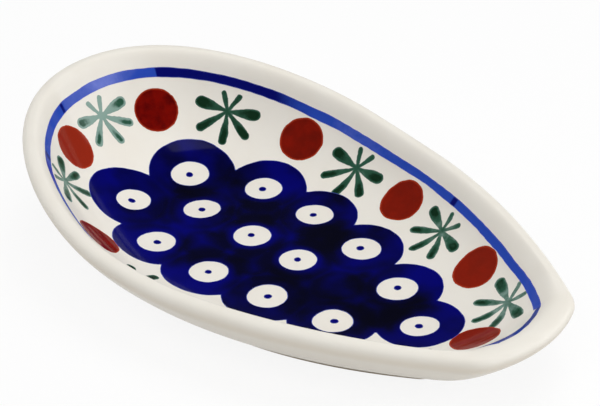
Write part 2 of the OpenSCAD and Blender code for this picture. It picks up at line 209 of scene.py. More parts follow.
class StageSettings(bpy.types.PropertyGroup):
    """Camera and lights."""

    azimuth: angle("Azimuth", "Turn of the camera round the dish", 44.57)
    elevation: angle("Elevation", "Angle of the camera above the floor", 33.09)
    roll: angle("Roll", "Tilt of the camera", -0.97)
    distance: length("Distance", "From the camera to the point aimed at", 367.23)
    target: bpy.props.FloatVectorProperty(
        name="Target",
        description="The point aimed at",
        default=(2.716 * MM, 0, 10 * MM),
        subtype="TRANSLATION",
    )
    lens: number("Lens", "Focal length", 110.61, high=500.0, unit="CAMERA")
    shift: number("Shift", "Upward shift of the frame, as a share of its width", 0.05757)
    sky: number("Sky", "Strength of the even light from all round", 0.12)
    front: power("Front", "Power of the broad light above the camera", 2.1)
    right: power("Right", "Power of the long soft box on the right", 2.6)
    left: power("Left", "Power of the soft box on the left", 1.2)
    top: power("Top", "Power of the soft box overhead", 1.75)
    sheen: power("Sheen", "Power of the small light that the bowl mirrors", 0.08)


# The shape of the dish

# Even points round the outline, and the points on each arc, side and half of the back that
# they are taken from
DENSE = 4096
ARC_POINTS, SIDE_POINTS, BACK_POINTS = 80, 700, 900
# Points to either side from which the outline's direction is taken
WAY_REACH = 3
# Spreads of the bells that even out the bowl's edge: along it, and in steps of direction
EDGE_BELL = 0.6 * MM
TURN_BELL = DENSE / 600
# How far from a place the slope of the bowl is felt
PROBE = 0.15 * MM
# Points in a row round the dish, and rows out over the bowl, over its edge, over the top of the
# rim and down the wall
COLUMNS = 360
BOWL_ROWS, EDGE_ROWS, TOP_ROWS, WALL_ROWS = 62, 13, 13, 28
ARRIS_ROW = BOWL_ROWS + EDGE_ROWS + TOP_ROWS - 2
FOOT_ROW = ARRIS_ROW + WALL_ROWS
# How much closer the bowl's rows stand near its edge, 1 is evenly
BOWL_CROWDING = 1.45
# Rows on the glazed part of the foot, as shares of its height
FOOT_ROW_SHARES = (0.55, 0.25)
# How often the section is evened out near its arris and its foot, and over how many rows
ARRIS_SOFTENING, FOOT_SOFTENING, SOFT_REACH = 7, 3, 4
# Limits of the shares that place paint on the bowl and the knee of the rim's roll
BOWL_LIMIT, KNEE_LIMIT = 1.2, 0.8


def smooth_step(t):
    """0 up to 0, 1 from 1 on, and an even ease from one to the other."""
    t = np.clip(t, 0, 1)
    return t * t * (3 - 2 * t)


def blurred(values, spread):
    """Values round a loop, averaged over a bell of the given spread in steps."""
    reach = int(4 * spread) + 1
    bell = np.exp(-0.5 * (np.arange(-reach, reach + 1) / spread) ** 2)
    wrapped = np.concatenate([values[-reach:], values, values[:reach]])
    return np.convolve(wrapped, bell / bell.sum(), mode="valid")


def unit_rows(vectors):
    """The same directions, each of length 1."""
    return vectors / np.linalg.norm(vectors, axis=-1, keepdims=True)


def level_ring(plan, height):
    """Points of an outline at one height."""
    return np.column_stack([plan, np.full(len(plan), height)])


class Dish:
    """The dish's outline, rim, bowl and outer wall, worked out from its sizes."""

    def __init__(self, sizes):
        self.s = sizes
        self.start = -sizes.long / 2
        self.end = sizes.long / 2
        self.widest = self.start + sizes.long * sizes.widest_share
        self.rise_x = self.start + sizes.long * sizes.rise_share
        self.low_x = self.start + sizes.long * sizes.low_share
        self.radius = sizes.rim_thickness / 2
        self.loop, self.facing = self.dense_outline()
        steps = np.linalg.norm(np.roll(self.loop, -1, 0) - self.loop, axis=1)
        self.girth = steps.sum()
        self.shares = np.concatenate([[0], np.cumsum(steps)]) / self.girth
        # Share of the way round at which the band gives way to the fine line
        self.line_share = self.bow_length / self.girth
        self.make_edge()

    def half_width(self, x):
        """Half of the width at places along the dish, before its corners are rounded."""
        s = self.s
        half, end_half = s.wide / 2, s.flat_end / 2
        back = np.clip((self.widest - x) / (self.widest - self.start), 0, 1)
        front = np.clip((x - self.widest) / (self.end - self.widest), 0, 1)
        round_side = half * np.clip(1 - back**s.curve_along, 0, 1) ** (1 / s.curve_across)
        straight_side = half - (half - end_half) * front**2
        return np.where(x < self.widest, round_side, straight_side)

    def dense_outline(self):
        """Points round the outline, from the middle of the flat end by way of +Y, and the way out."""
        s = self.s
        side_x = self.end - s.corner_reach
        way = (side_x - self.widest) / (self.end - self.widest)
        slope = math.atan((s.wide - s.flat_end) / (self.end - self.widest) * way)
        facing = np.array([math.sin(slope), math.cos(slope)])
        corner = np.array([side_x, float(self.half_width(side_x))]) - s.corner_radius * facing
        behind = self.end - corner[0]
        radius = (behind**2 + corner[1] ** 2 - s.corner_radius**2) / (2 * (behind - s.corner_radius))
        bow = np.array([self.end - radius, 0])
        turn = math.atan(corner[1] / (radius - behind))
        self.bow_length = radius * turn
        ends = []
        for middle, size, start, stop in (
            (bow, radius, 0, turn),
            (corner, s.corner_radius, turn, math.pi / 2 - slope),
        ):
            for a in np.linspace(start, stop, ARC_POINTS, endpoint=False):
                ends.append(middle + size * np.array([math.cos(a), math.sin(a)]))
        side = np.linspace(side_x, self.widest, SIDE_POINTS, endpoint=False)
        quarter = np.linspace(0, math.pi / 2, BACK_POINTS)
        back = self.widest - (self.widest - self.start) * np.sin(quarter)
        x = np.concatenate([side, back])
        half = np.vstack([ends, np.column_stack([x, self.half_width(x)])])
        whole = np.vstack([half, (half * [1, -1])[::-1][1:-1]])
        steps = np.linalg.norm(np.roll(whole, -1, 0) - whole, axis=1)
        along = np.concatenate([[0], np.cumsum(steps)])
        even = np.linspace(0, along[-1], DENSE, endpoint=False)
        closed = np.vstack([whole, whole[:1]])
        points = np.stack([np.interp(even, along, closed[:, k]) for k in (0, 1)], 1)
        ahead = unit_rows(np.roll(points, -WAY_REACH, 0) - np.roll(points, WAY_REACH, 0))
        return points, np.stack([ahead[:, 1], -ahead[:, 0]], 1)

    def at_share(self, values, shares):
        """Values of the dense outline at shares of the way round it."""
        closed = np.vstack([values, values[:1]])
        return np.stack([np.interp(np.mod(shares, 1), self.shares, column) for column in closed.T], -1)

    def rim(self, x):
        """Height of the rim at places along the dish."""
        s = self.s
        t = np.clip((self.rise_x - x) / (self.rise_x - self.start), 0, 1)
        return s.lip_height + (s.back_height - s.lip_height) * t * t * (s.rise_ease - (s.rise_ease - 1) * t)

    def lip(self, x):
        """How far the rim has widened into the lip of the flat end, from 0 to 1."""
        return smooth_step((x - self.end + self.s.lip_run) / self.s.lip_run)

    def make_edge(self):
        """The rim's inner edge, as a distance and a height for each direction from the low point."""
        s = self.s
        x = self.loop[:, 0]
        run = self.radius + (s.lip_depth - self.radius) * self.lip(x)
        fall = self.radius + (s.lip_fall - self.radius) * self.lip(x)
        edge = self.loop - self.facing * (self.radius + run)[:, None] - [self.low_x, 0]
        turn = np.unwrap(np.arctan2(edge[:, 1], edge[:, 0]))
        forward = np.maximum.accumulate(turn)
        backward = np.minimum.accumulate(turn[::-1])[::-1]
        self.turns = np.linspace(0, 2 * math.pi, DENSE, endpoint=False)
        steady = (forward + backward) / 2 - self.turns
        self.turn_shift = blurred(steady, DENSE * EDGE_BELL / self.girth)
        order = np.argsort(turn)
        even = []
        for values in (np.hypot(edge[:, 0], edge[:, 1]), self.rim(x) - fall):
            spaced = np.interp(self.turns, turn[order], values[order], period=2 * math.pi)
            even.append(blurred(spaced, TURN_BELL))
        self.far, self.high = even

    def round_low(self, values, turn):
        """Values of the bowl's edge in directions from the low point."""
        return np.interp(turn, self.turns, values, period=2 * math.pi)

    def bowl(self, plan):
        """Height of the bowl at places seen from above."""
        across = plan - np.array([self.low_x, 0])
        turn = np.arctan2(across[..., 1], across[..., 0])
        out = np.hypot(across[..., 0], across[..., 1]) / self.round_low(self.far, turn)
        floor = self.s.floor_height
        return floor + (self.round_low(self.high, turn) - floor) * out**self.s.bowl_curve

    def bowl_facing(self, plan):
        """The way the bowl faces at places seen from above."""
        shift = np.array([[PROBE, 0], [0, PROBE]])
        dx = self.bowl(plan + shift[0]) - self.bowl(plan - shift[0])
        dy = self.bowl(plan + shift[1]) - self.bowl(plan - shift[1])
        return unit_rows(np.stack([-dx, -dy, np.full_like(dx, 2 * PROBE)], -1))

    def on_bowl(self, plan):
        """Points of the bowl at places seen from above."""
        return np.concatenate([plan, self.bowl(plan)[..., None]], -1)

    def towards_edge(self, shares):
        """Direction from the low point to the bowl's edge, at shares of the way round."""
        return self.at_share(self.turn_shift[:, None], shares)[..., 0] + 2 * math.pi * shares

    def below_rim(self, shares, drop):
        """Places on the bowl a given drop below the rim, at shares of the way round."""
        turn = self.towards_edge(shares)
        rim = self.rim(self.at_share(self.loop, shares)[..., 0])
        far, high = self.round_low(self.far, turn), self.round_low(self.high, turn)
        floor = self.s.floor_height
        out = np.clip((rim - drop - floor) / (high - floor), 0, BOWL_LIMIT) ** (1 / self.s.bowl_curve)
        return np.stack([self.low_x + far * out * np.cos(turn), far * out * np.sin(turn)], -1)

    def roll(self, shares):
        """The bowl's reach, edge height and direction, the rim's height and the curve between them."""
        s = self.s
        turn = self.towards_edge(shares)
        far, high = self.round_low(self.far, turn), self.round_low(self.high, turn)
        ray = np.stack([np.cos(turn), np.sin(turn)], -1)
        out = self.at_share(self.loop, shares)
        facing = unit_rows(self.at_share(self.facing, shares))
        rim = self.rim(out[:, 0])
        edge = np.column_stack([ray * far[:, None] + [self.low_x, 0], high])
        top = np.column_stack([out - facing * self.radius, rim])
        steepness = s.bowl_curve * (high - s.floor_height) / far
        run = np.linalg.norm(top[:, :2] - edge[:, :2], axis=1)
        reach = np.clip((rim - high) / steepness / run, 0, KNEE_LIMIT)[:, None]
        knee = np.column_stack([edge[:, :2] + (top[:, :2] - edge[:, :2]) * reach, rim])
        return far, high, ray, rim, (edge, knee, top)

    def on_roll(self, roll, t):
        """Places part of the way from the bowl's edge to the top of the rim."""
        weights = [(1 - t) ** 2, 2 * self.s.edge_fullness * t * (1 - t), t * t]
        return (weights[0] * roll[0] + weights[1] * roll[1] + weights[2] * roll[2]) / sum(weights)

    def section(self):
        """Rows of points from beside the low point, over the rim and down to the glaze line."""
        s = self.s
        shares = np.arange(COLUMNS) / COLUMNS
        out = self.at_share(self.loop, shares)
        facing = unit_rows(self.at_share(self.facing, shares))
        far, high, ray, rim, roll = self.roll(shares)
        low = np.array([self.low_x, 0])
        rows = []
        for t in 1 - (1 - np.linspace(0, 1, BOWL_ROWS + 1)[1:-1]) ** BOWL_CROWDING:
            plan = low + ray * (far * t)[:, None]
            height = s.floor_height + (high - s.floor_height) * t**s.bowl_curve
            rows.append(np.column_stack([plan, height]))
        for t in np.linspace(0, 1, EDGE_ROWS):
            rows.append(self.on_roll(roll, t))
        top = roll[2][:, :2]
        for a in np.linspace(math.pi / 2, 0, TOP_ROWS + 1)[1:]:
            across = self.radius * math.cos(a) ** (2 / s.arris)
            rise = self.radius * math.sin(a) ** (2 / s.arris)
            rows.append(np.column_stack([top + facing * across, rim - self.radius + rise]))
        for t in np.linspace(0, 1, WALL_ROWS + 1)[1:]:
            rows.append(self.wall(out, rim, t))
        for height in FOOT_ROW_SHARES:
            rows.append(level_ring(self.foot(out), self.foot_level(height)))
        rows = np.array(rows)
        self.soften(rows, ARRIS_ROW, ARRIS_SOFTENING)
        self.soften(rows, FOOT_ROW, FOOT_SOFTENING)
        return rows, facing, out

    def wall(self, out, rim, t):
        """Points part of the way down the wall, from the arris to the top of the foot."""
        s = self.s
        w = 2 * t * (1 - t) * s.wall_lean + t * t
        plan = out * (1 - w) + self.foot(out) * w
        top = rim - self.radius
        raised = (rim - s.lip_height) / (s.back_height - s.lip_height)
        belly = s.foot_height + (s.wall_belly - s.back_belly * raised) * (top - s.foot_height)
        height = (1 - t) ** 2 * top + 2 * t * (1 - t) * belly + t * t * s.foot_height
        return np.column_stack([plan, height])

    def foot(self, out):
        """Outline of the foot, from the outline of the rim."""
        return out * self.s.foot_share + [self.s.foot_shift, 0]

    def foot_level(self, height):
        """Height of a place on the glazed part of the foot, given as a share of that part."""
        return self.s.bare_height + (self.s.foot_height - self.s.bare_height) * height

    def hollow(self, out, size=1):
        """Outline of the hollow in the foot, or of a smaller one inside it."""
        return out * self.s.foot_share * self.s.hollow_share * size + [self.s.foot_shift, 0]

    @staticmethod
    def soften(rows, middle, passes):
        """Rounds the section off near one row, and less and less away from it."""
        reach = np.arange(len(rows)) - middle
        hold = np.exp(-0.5 * (reach / SOFT_REACH) ** 2)[1:-1, None, None]
        for _ in range(passes):
            mean = (rows[:-2] + rows[2:]) / 2
            rows[1:-1] += 0.5 * hold * (mean - rows[1:-1])


# Meshes

# How deep the underside of the paint lies in the glaze
PAINT_DEPTH = 0.25 * MM
# Unevenness of hand-held tools: waves of each size, and what lifts their mean to about 1
WANDER_WAVES, WANDER_GAIN = 7, 1.6


def grid_normals(rows):
    """The way out of the surface at each point of the rows."""
    along = np.roll(rows, -1, 1) - np.roll(rows, 1, 1)
    across = np.gradient(rows, axis=0)
    return unit_rows(np.cross(across, along))


def ring_faces(row_count, columns, first):
    """Quads between rows of a closed ring, whose points start at the given number."""
    r, c = np.meshgrid(np.arange(row_count - 1), np.arange(columns), indexing="ij")
    here = first + r * columns + c
    after = first + r * columns + (c + 1) % columns
    return np.stack([here, here + columns, after + columns, after], -1).reshape(-1, 4).tolist()


def fan_faces(pole, first, columns, upwards):
    """Triangles from a pole to a ring whose points start at the given number."""
    faces = [[pole, first + c, first + (c + 1) % columns] for c in range(columns)]
    return faces if upwards else [face[::-1] for face in faces]


def ring_solid(rows, start, finish):
    """A closed solid of rings from one pole to the other."""
    columns = rows.shape[1]
    points = np.vstack([rows.reshape(-1, 3), [start], [finish]])
    count = len(rows) * columns
    faces = ring_faces(len(rows), columns, 0)
    faces += fan_faces(count, 0, columns, True)
    faces += fan_faces(count + 1, count - columns, columns, False)
    return points, faces


def new_mesh(name, points, faces, values=None, material=None):
    """A smooth mesh object at the origin, with numbers stored on its points."""
    mesh = bpy.data.meshes.new(name)
    mesh.from_pydata(np.asarray(points).tolist(), [], faces)
    mesh.polygons.foreach_set("use_smooth", np.ones(len(mesh.polygons), bool))
    for key, numbers in (values or {}).items():
        stored = mesh.attributes.new(key, "FLOAT", "POINT")
        stored.data.foreach_set("value", np.asarray(numbers, np.float32))
    if material:
        mesh.materials.append(material)
    mesh.update()
    piece = bpy.data.objects.new(name, mesh)
    bpy.context.scene.collection.objects.link(piece)
    return piece


def contour_mesh(field, low, high, step):
    """Triangles of the part of a plane where the field is above zero, cut along its zero line."""
    x = np.arange(low[0], high[0] + step, step)
    y = np.arange(low[1], high[1] + step, step)
    grid = np.stack(np.meshgrid(x, y, indexing="ij"), -1)
    value = field(grid).ravel()
    order = np.arange(grid.shape[0] * grid.shape[1]).reshape(grid.shape[:2])
    a, b, c, d = order[:-1, :-1], order[1:, :-1], order[1:, 1:], order[:-1, 1:]
    triangles = np.concatenate([np.stack([a, b, c], -1), np.stack([a, c, d], -1)]).reshape(-1, 3)
    inside = value > 0
    kept = inside[triangles].sum(1)
    points = [tuple(p) for p in grid.reshape(-1, 2)]
    faces = triangles[kept == 3].tolist()
    cuts = {}
    for triangle in triangles[(kept > 0) & (kept < 3)]:
        ring = []
        for k in range(3):
            p, q = int(triangle[k]), int(triangle[(k + 1) % 3])
            if inside[p]:
                ring.append(p)
            if inside[p] != inside[q]:
                key = (min(p, q), max(p, q))
                if key not in cuts:
                    t = value[key[0]] / (value[key[0]] - value[key[1]])
                    start, stop = points[key[0]], points[key[1]]
                    points.append((start[0] + t * (stop[0] - start[0]), start[1] + t * (stop[1] - start[1])))
                    cuts[key] = len(points) - 1
                ring.append(cuts[key])
        faces += [[ring[0], ring[k], ring[k + 1]] for k in range(1, len(ring) - 1)]
    faces = np.array(faces)
    used, faces = np.unique(faces, return_inverse=True)
    return np.array(points)[used], faces.reshape(-1, 3)


def rim_edges(faces):
    """Edges that belong to one triangle only, in the direction that the triangle gives."""
    edges = np.vstack([faces[:, [0, 1]], faces[:, [1, 2]], faces[:, [2, 0]]])
    low_high = np.sort(edges, 1)
    _, first, count = np.unique(low_high, axis=0, return_index=True, return_counts=True)
    return edges[first[count == 1]]


def paint_piece(name, surface, facing, faces, lift, values, material):
    """A closed film of colour: its top lies just above the glaze, its underside in it."""
    count = len(surface)
    points = np.vstack([surface + facing * lift, surface - facing * PAINT_DEPTH])
    rim = rim_edges(faces)
    walls = np.column_stack([rim[:, 1], rim[:, 0], rim[:, 0] + count, rim[:, 1] + count])
    all_faces = faces.tolist() + (faces[:, ::-1] + count).tolist() + walls.tolist()
    doubled = {key: np.concatenate([numbers, numbers]) for key, numbers in values.items()}
    piece = new_mesh(name, points, all_faces, doubled, material)
    piece.data.normals_split_custom_set_from_vertices(np.vstack([facing, -facing]).tolist())
    return piece


class Wander:
    """Smooth, seeded unevenness of a hand-held brush or stamp."""

    def __init__(self, seed, sizes):
        draw = np.random.default_rng(seed)
        self.waves = []
        for size in sizes:
            direction = unit_rows(draw.normal(size=(WANDER_WAVES, 3)))
            phase = draw.uniform(0, 2 * math.pi, WANDER_WAVES)
            self.waves.append((direction * (2 * math.pi / size), phase))

    def __call__(self, points):
        """A value of about -1 to 1 at each point."""
        total = 0
        for weight, (direction, phase) in enumerate(self.waves, 1):
            total = total + np.sin(points @ direction.T + phase).mean(-1) * WANDER_GAIN / weight
        return total


# Shader and geometry node trees

# The clear glaze over every colour, and the roughness of the stains and of the white under it
GLAZE_COAT = {"Coat_Weight": 0.35, "Coat_Roughness": 0.09, "Specular_IOR_Level": 0.0}
STAIN_ROUGHNESS, WHITE_ROUGHNESS = 0.35, 0.3
# Waves of the poured glaze: width of the broad and the small ones, share of the small, height
GLAZE_SWELL, GLAZE_RIPPLE, RIPPLE_SHARE, GLAZE_WAVES = 7 * MM, 2.2 * MM, 0.12, 0.05 * MM
# How much darker and warmer the grog is than the clay, and how far it stands out
GROG_TINT = (0.86, 0.80, 0.72)
GROG_HEIGHT = 0.06 * MM
# Width of the patches in the white, the clay, the cobalt, the rust and the green
WHITE_MOTTLE, CLAY_GROG, CLAY_PATCH = 9 * MM, 0.35 * MM, 6 * MM
COBALT_CLOUD, COBALT_WASH, PUPIL_MOTTLE, BAND_POOL = 9 * MM, 16 * MM, 0.8 * MM, 3 * MM
RUST_PATCH, RUST_GRAIN, GREEN_CLOUD = 3.4 * MM, 0.6 * MM, 1.8 * MM


class Wire:
    """A number that leaves a node, so that sums on it can be written as plain expressions."""

    def __init__(self, graph, socket):
        self.graph = graph
        self.socket = socket

    def sum(self, operation, *values, clamp=False):
        """A maths node on wires and numbers."""
        settings = {"operation": operation, "use_clamp": clamp}
        return self.graph.node("ShaderNodeMath", settings, dict(enumerate(values)))

    def __add__(self, other):
        return self.sum("ADD", self, other)

    def __sub__(self, other):
        return self.sum("SUBTRACT", self, other)

    def __rsub__(self, other):
        return self.sum("SUBTRACT", other, self)

    def __mul__(self, other):
        return self.sum("MULTIPLY", self, other)

    __radd__ = __add__

    def clipped(self):
        """The same number, held between 0 and 1."""
        return self.sum("ADD", self, 0.0, clamp=True)

    def between(self, low, high):
        """0 below low, 1 above high, and a smooth step from one to the other."""
        inputs = {"Value": self, "From Min": low, "From Max": high}
        return self.graph.node("ShaderNodeMapRange", {"interpolation_type": "SMOOTHSTEP"}, inputs)


class Graph:
    """The nodes of one tree, each added by the same method."""

    def __init__(self, tree):
        self.tree = tree

    def node(self, kind, settings=None, inputs=None, output=0):
        """Adds a node: first its settings, then the values or links of its sockets."""
        made = self.tree.nodes.new(kind)
        for name, value in (settings or {}).items():
            setattr(made, name, value)
        for key, value in (inputs or {}).items():
            if isinstance(value, Wire):
                self.tree.links.new(value.socket, made.inputs[key])
            else:
                made.inputs[key].default_value = value
        return Wire(self, made.outputs[output]) if made.outputs else None


class Finish(Graph):
    """The nodes of one material."""

    def __init__(self, name):
        self.material = bpy.data.materials.new(name)
        self.material.use_nodes = True
        super().__init__(self.material.node_tree)
        self.tree.nodes.clear()

    def stored(self, name):
        """A number kept on the points of the mesh."""
        return self.node("ShaderNodeAttribute", {"attribute_name": name}, output="Fac")

    def noise(self, size, detail=2.0, roughness=0.5):
        """Noise whose patches are about the given size."""
        place = self.node("ShaderNodeTexCoord", output="Object")
        inputs = {"Vector": place, "Scale": 1 / size, "Detail": detail, "Roughness": roughness}
        return self.node("ShaderNodeTexNoise", None, inputs)

    def mix(self, factor, first, second):
        """Mixes two colours."""
        settings = {"data_type": "RGBA", "blend_type": "MIX"}
        values = {0: factor, 6: self.tint(first), 7: self.tint(second)}
        return self.node("ShaderNodeMix", settings, values, output=2)

    @staticmethod
    def tint(value):
        """A wire as it is, or a colour with its fourth value."""
        return value if isinstance(value, Wire) else (*value, 1.0)

    def bump(self, height, distance):
        """Normals of a surface that rises and falls by up to the distance."""
        return self.node("ShaderNodeBump", None, {"Height": height, "Distance": distance, "Strength": 1.0})

    def done(self, base, **sockets):
        """The surface shader, with its constants on its own sockets."""
        inputs = {"Base Color": base}
        inputs.update({key.replace("_", " "): value for key, value in sockets.items()})
        shader = self.node("ShaderNodeBsdfPrincipled", None, inputs)
        self.node("ShaderNodeOutputMaterial", None, {"Surface": shader})
        return self.material

    def glazed(self, base, roughness=STAIN_ROUGHNESS):
        """A colour under clear glaze, with the faint unevenness of poured glaze."""
        swell = self.noise(GLAZE_SWELL, 1.0) + self.noise(GLAZE_RIPPLE, 1.0) * RIPPLE_SHARE
        waves = self.bump(swell, GLAZE_WAVES)
        return self.done(base, Roughness=roughness, Normal=waves, **GLAZE_COAT)


def white_glaze(colours):
    """Warm white glaze, thinner and a little browner over the edges, with a painted shade line at the arris
    and painted shade darkening the outer wall towards the foot.
    """
    graph = Finish("White glaze")
    mottle = graph.noise(WHITE_MOTTLE, 3.0).between(0.35, 0.75) * 0.35
    # Painted shade: the outer wall and the arris line take the thin glaze colour, darker towards the foot
    base = graph.mix(graph.stored("thin"), colours.glaze, colours.thin_glaze_and_shade)
    base = graph.mix(mottle * 0.5, base, colours.thin_glaze_and_shade)
    return graph.glazed(base, WHITE_ROUGHNESS)


def bare_clay(colours):
    """Unglazed stoneware: matt, with fine grog in it."""
    graph = Finish("Bare clay")
    grain = graph.noise(CLAY_GROG, 4.0, 0.65)
    patches = graph.noise(CLAY_PATCH, 3.0)
    warm = [value * tint for value, tint in zip(colours.clay, GROG_TINT)]
    base = graph.mix((grain * 0.6 + patches * 0.4).between(0.4, 0.75), colours.clay, warm)
    return graph.done(base, Roughness=0.72 + grain * 0.2, Normal=graph.bump(grain, GROG_HEIGHT))


def cobalt_discs(colours):
    """Cobalt under the glaze: near black in soft clouds where discs overlap, paler at each edge."""
    graph = Finish("Cobalt discs")
    edge, overlap = graph.stored("edge"), graph.stored("overlap")
    rim, eye = graph.stored("rim"), graph.stored("eye")
    cloud = graph.noise(COBALT_CLOUD)
    wash = graph.noise(COBALT_WASH)
    double = (overlap + cloud * 3.0 - 0.8).between(-2.6, 2.8) * rim.between(0.1, 2.6)
    double = double * (0.3 + eye.between(0.1, 2.0) * 0.7)
    thick = cloud.between(0.4, 0.7) * 0.45 + wash.between(0.38, 0.62) * 0.45
    base = graph.mix(thick, colours.cobalt, colours.deep_cobalt)
    base = graph.mix((double * 0.9).clipped(), base, colours.deep_cobalt)
    base = graph.mix((1 - edge.between(0.0, 0.2)) * 0.75, base, colours.cobalt_edge)
    return graph.glazed(base)


def cobalt_pupils(colours):
    """Cobalt of the small dots, paler at the edge and mottled inside."""
    graph = Finish("Cobalt pupils")
    edge = graph.stored("edge")
    base = graph.mix((1 - edge.between(0.02, 0.25)) * 0.5, colours.cobalt, colours.cobalt_edge)
    base = graph.mix(graph.noise(PUPIL_MOTTLE).between(0.4, 0.8) * 0.4, base, colours.deep_cobalt)
    return graph.glazed(base)


def painted_band(colours, name):
    """Cobalt laid on with a brush: more or less of it along the band, thinner at its edges, with a painted
    reflection and painted shade in places along it.
    """
    graph = Finish(name)
    load, edge = graph.stored("load"), graph.stored("edge")
    pool = graph.noise(BAND_POOL, 3.0, 0.6) - 0.5
    amount = load + pool * 0.3
    # Paler and deeper along the band: brush load, with a painted reflection and painted shade in places
    base = graph.mix(amount.between(-0.1, 0.4), colours.band_pale_and_sheen, colours.band)
    base = graph.mix(amount.between(0.45, 0.95), base, colours.band_deep_and_shade)
    base = graph.mix((1 - edge.between(0.0, 0.22)) * 0.6, base, colours.cobalt_edge)
    return graph.glazed(base)


def rust_stain(colours):
    """Rust-red slip, patchy inside and paler at its rough edge."""
    graph = Finish("Rust stain")
    edge, tint = graph.stored("edge"), graph.stored("tint")
    patch = graph.noise(RUST_PATCH, 4.0, 0.6)
    fine = graph.noise(RUST_GRAIN, 3.0, 0.7)
    base = graph.mix((patch.between(0.3, 0.7) * (1 - tint)).clipped(), colours.rust, colours.rust_deep)
    base = graph.mix((fine.between(0.55, 0.9) * 0.12 + tint * 0.4).clipped(), base, colours.rust_pale)
    base = graph.mix((1 - edge.between(0.05, 0.5)) * (0.45 + patch * 0.5), base, colours.rust_pale)
    return graph.glazed(base)


def green_stain(colours):
    """Watery green, gathered in the ends of the petals and thin along the strokes."""
    graph = Finish("Green stain")
    edge, out, tint = graph.stored("edge"), graph.stored("out"), graph.stored("tint")
    cloud = graph.noise(GREEN_CLOUD, 3.0, 0.6)
    pooled = out.between(2.4, 6.4) * edge.between(0.1, 0.8) * (0.6 + cloud * 0.8)
    amount = pooled * 0.8 + (cloud - 0.5) * 0.8 + 0.45 - tint
    base = graph.mix(amount.between(-0.35, 0.25), colours.green_pale, colours.green_mid)
    base = graph.mix(amount.between(0.2, 0.9), base, colours.green)
    base = graph.mix((1 - edge.between(0.0, 0.2)) * 0.4, base, colours.green_pale)
    return graph.glazed(base)


def stamping_tree(name):
    """Geometry nodes that stand one stamp on every point, turned to the point's own directions."""
    tree = bpy.data.node_groups.new(name, "GeometryNodeTree")
    face = tree.interface
    face.new_socket("Geometry", in_out="OUTPUT", socket_type="NodeSocketGeometry")
    face.new_socket("Geometry", in_out="INPUT", socket_type="NodeSocketGeometry")
    named = {}
    for label, kind in (
        ("Stamp", "NodeSocketObject"),
        ("Stain", "NodeSocketMaterial"),
        ("Size Spread", "NodeSocketFloat"),
        ("Seed", "NodeSocketInt"),
    ):
        named[label] = face.new_socket(label, in_out="INPUT", socket_type=kind).identifier

    graph = Graph(tree)
    wires = {label: graph.node("NodeGroupInput", output=label) for label in ("Geometry", *named)}
    vector = {"data_type": "FLOAT_VECTOR"}
    axes = {"primary_axis": "Z", "secondary_axis": "Y"}
    out = graph.node("GeometryNodeInputNamedAttribute", vector, {"Name": "facing"})
    forward = graph.node("GeometryNodeInputNamedAttribute", vector, {"Name": "towards"})
    turned = graph.node("FunctionNodeAxesToRotation", axes, {0: out, 1: forward})
    stamp = graph.node("GeometryNodeObjectInfo", None, {"Object": wires["Stamp"]}, "Geometry")
    spread = wires["Size Spread"]
    limits = {2: 1 - spread, 3: 1 + spread, "Seed": wires["Seed"]}
    size = graph.node("FunctionNodeRandomValue", {"data_type": "FLOAT"}, limits, output=1)
    spots = graph.node("GeometryNodeMeshToPoints", None, {"Mesh": wires["Geometry"]})
    standing = {"Points": spots, "Instance": stamp, "Rotation": turned, "Scale": size}
    placed = graph.node("GeometryNodeInstanceOnPoints", None, standing)
    plain = graph.node("GeometryNodeRealizeInstances", None, {0: placed})
    finish = {"Geometry": plain, "Material": wires["Stain"]}
    stained = graph.node("GeometryNodeSetMaterial", None, finish)
    graph.node("NodeGroupOutput", None, {0: stained})
    return tree, named


def stamped(name, kind, dish, paint, spots, field, radius, stain):
    """Stamps one shape at each spot and presses the flat copies along their normals on to the bowl."""
    margin, step, lift, spread, seed = STAMPS[kind]
    stamp = stamp_object(kind + "_stamp", field, radius * margin, step)
    plan = np.array([spot[0] for spot in spots])
    facing = dish.bowl_facing(plan)
    towards = np.array([[*spot[1], 0] for spot in spots])
    towards = unit_rows(towards - facing * (facing * towards).sum(1, keepdims=True))
    carrier = new_mesh(name + "_spots", dish.on_bowl(plan), [], {"tint": [spot[2] for spot in spots]})
    for key, vectors in (("facing", facing), ("towards", towards)):
        stored = carrier.data.attributes.new(key, "FLOAT_VECTOR", "POINT")
        stored.data.foreach_set("vector", vectors.astype(np.float32).ravel())
    tree, named = stamping_tree(name + "_stamping")
    modifier = carrier.modifiers.new("Stamping", "NODES")
    modifier.node_group = tree
    settings = {"Stamp": stamp, "Stain": stain, "Size Spread": spread, "Seed": seed}
    for label, value in settings.items():
        modifier[named[label]] = value
    bpy.context.view_layer.update()
    evaluated = carrier.evaluated_get(bpy.context.evaluated_depsgraph_get())
    flat = bpy.data.meshes.new_from_object(evaluated)
    points = read(flat, "position", 3, "vector")
    ways = read(flat, "facing", 3, "vector")
    values = {key: read(flat, key, 1, "value")[:, 0] for key in ("edge", "out", "tint")}
    faces = np.array([tuple(p.vertices) for p in flat.polygons])
    if len(points) != len(spots) * len(stamp.data.vertices):
        raise RuntimeError(f"{name}: the stamps did not all land")
    found = [m for m in flat.materials if m]
    if not found:
        raise RuntimeError(f"{name}: the stain is missing, {len(flat.materials)} slots")
    for unused in (carrier, stamp):
        bpy.data.objects.remove(unused)
    wander = Wander(seed, STAMP_WANDER)
    sideways = unit_rows(np.cross(ways, [1, 0, 0]))
    points = points + sideways * (wander(points) * paint.wobble)[:, None]
    points = points + np.cross(ways, sideways) * (wander(points[:, ::-1]) * paint.wobble)[:, None]
    surface = pressed(dish, points, ways)
    return paint_piece(name, surface, dish.bowl_facing(surface[:, :2]), faces, lift, values, found[-1])


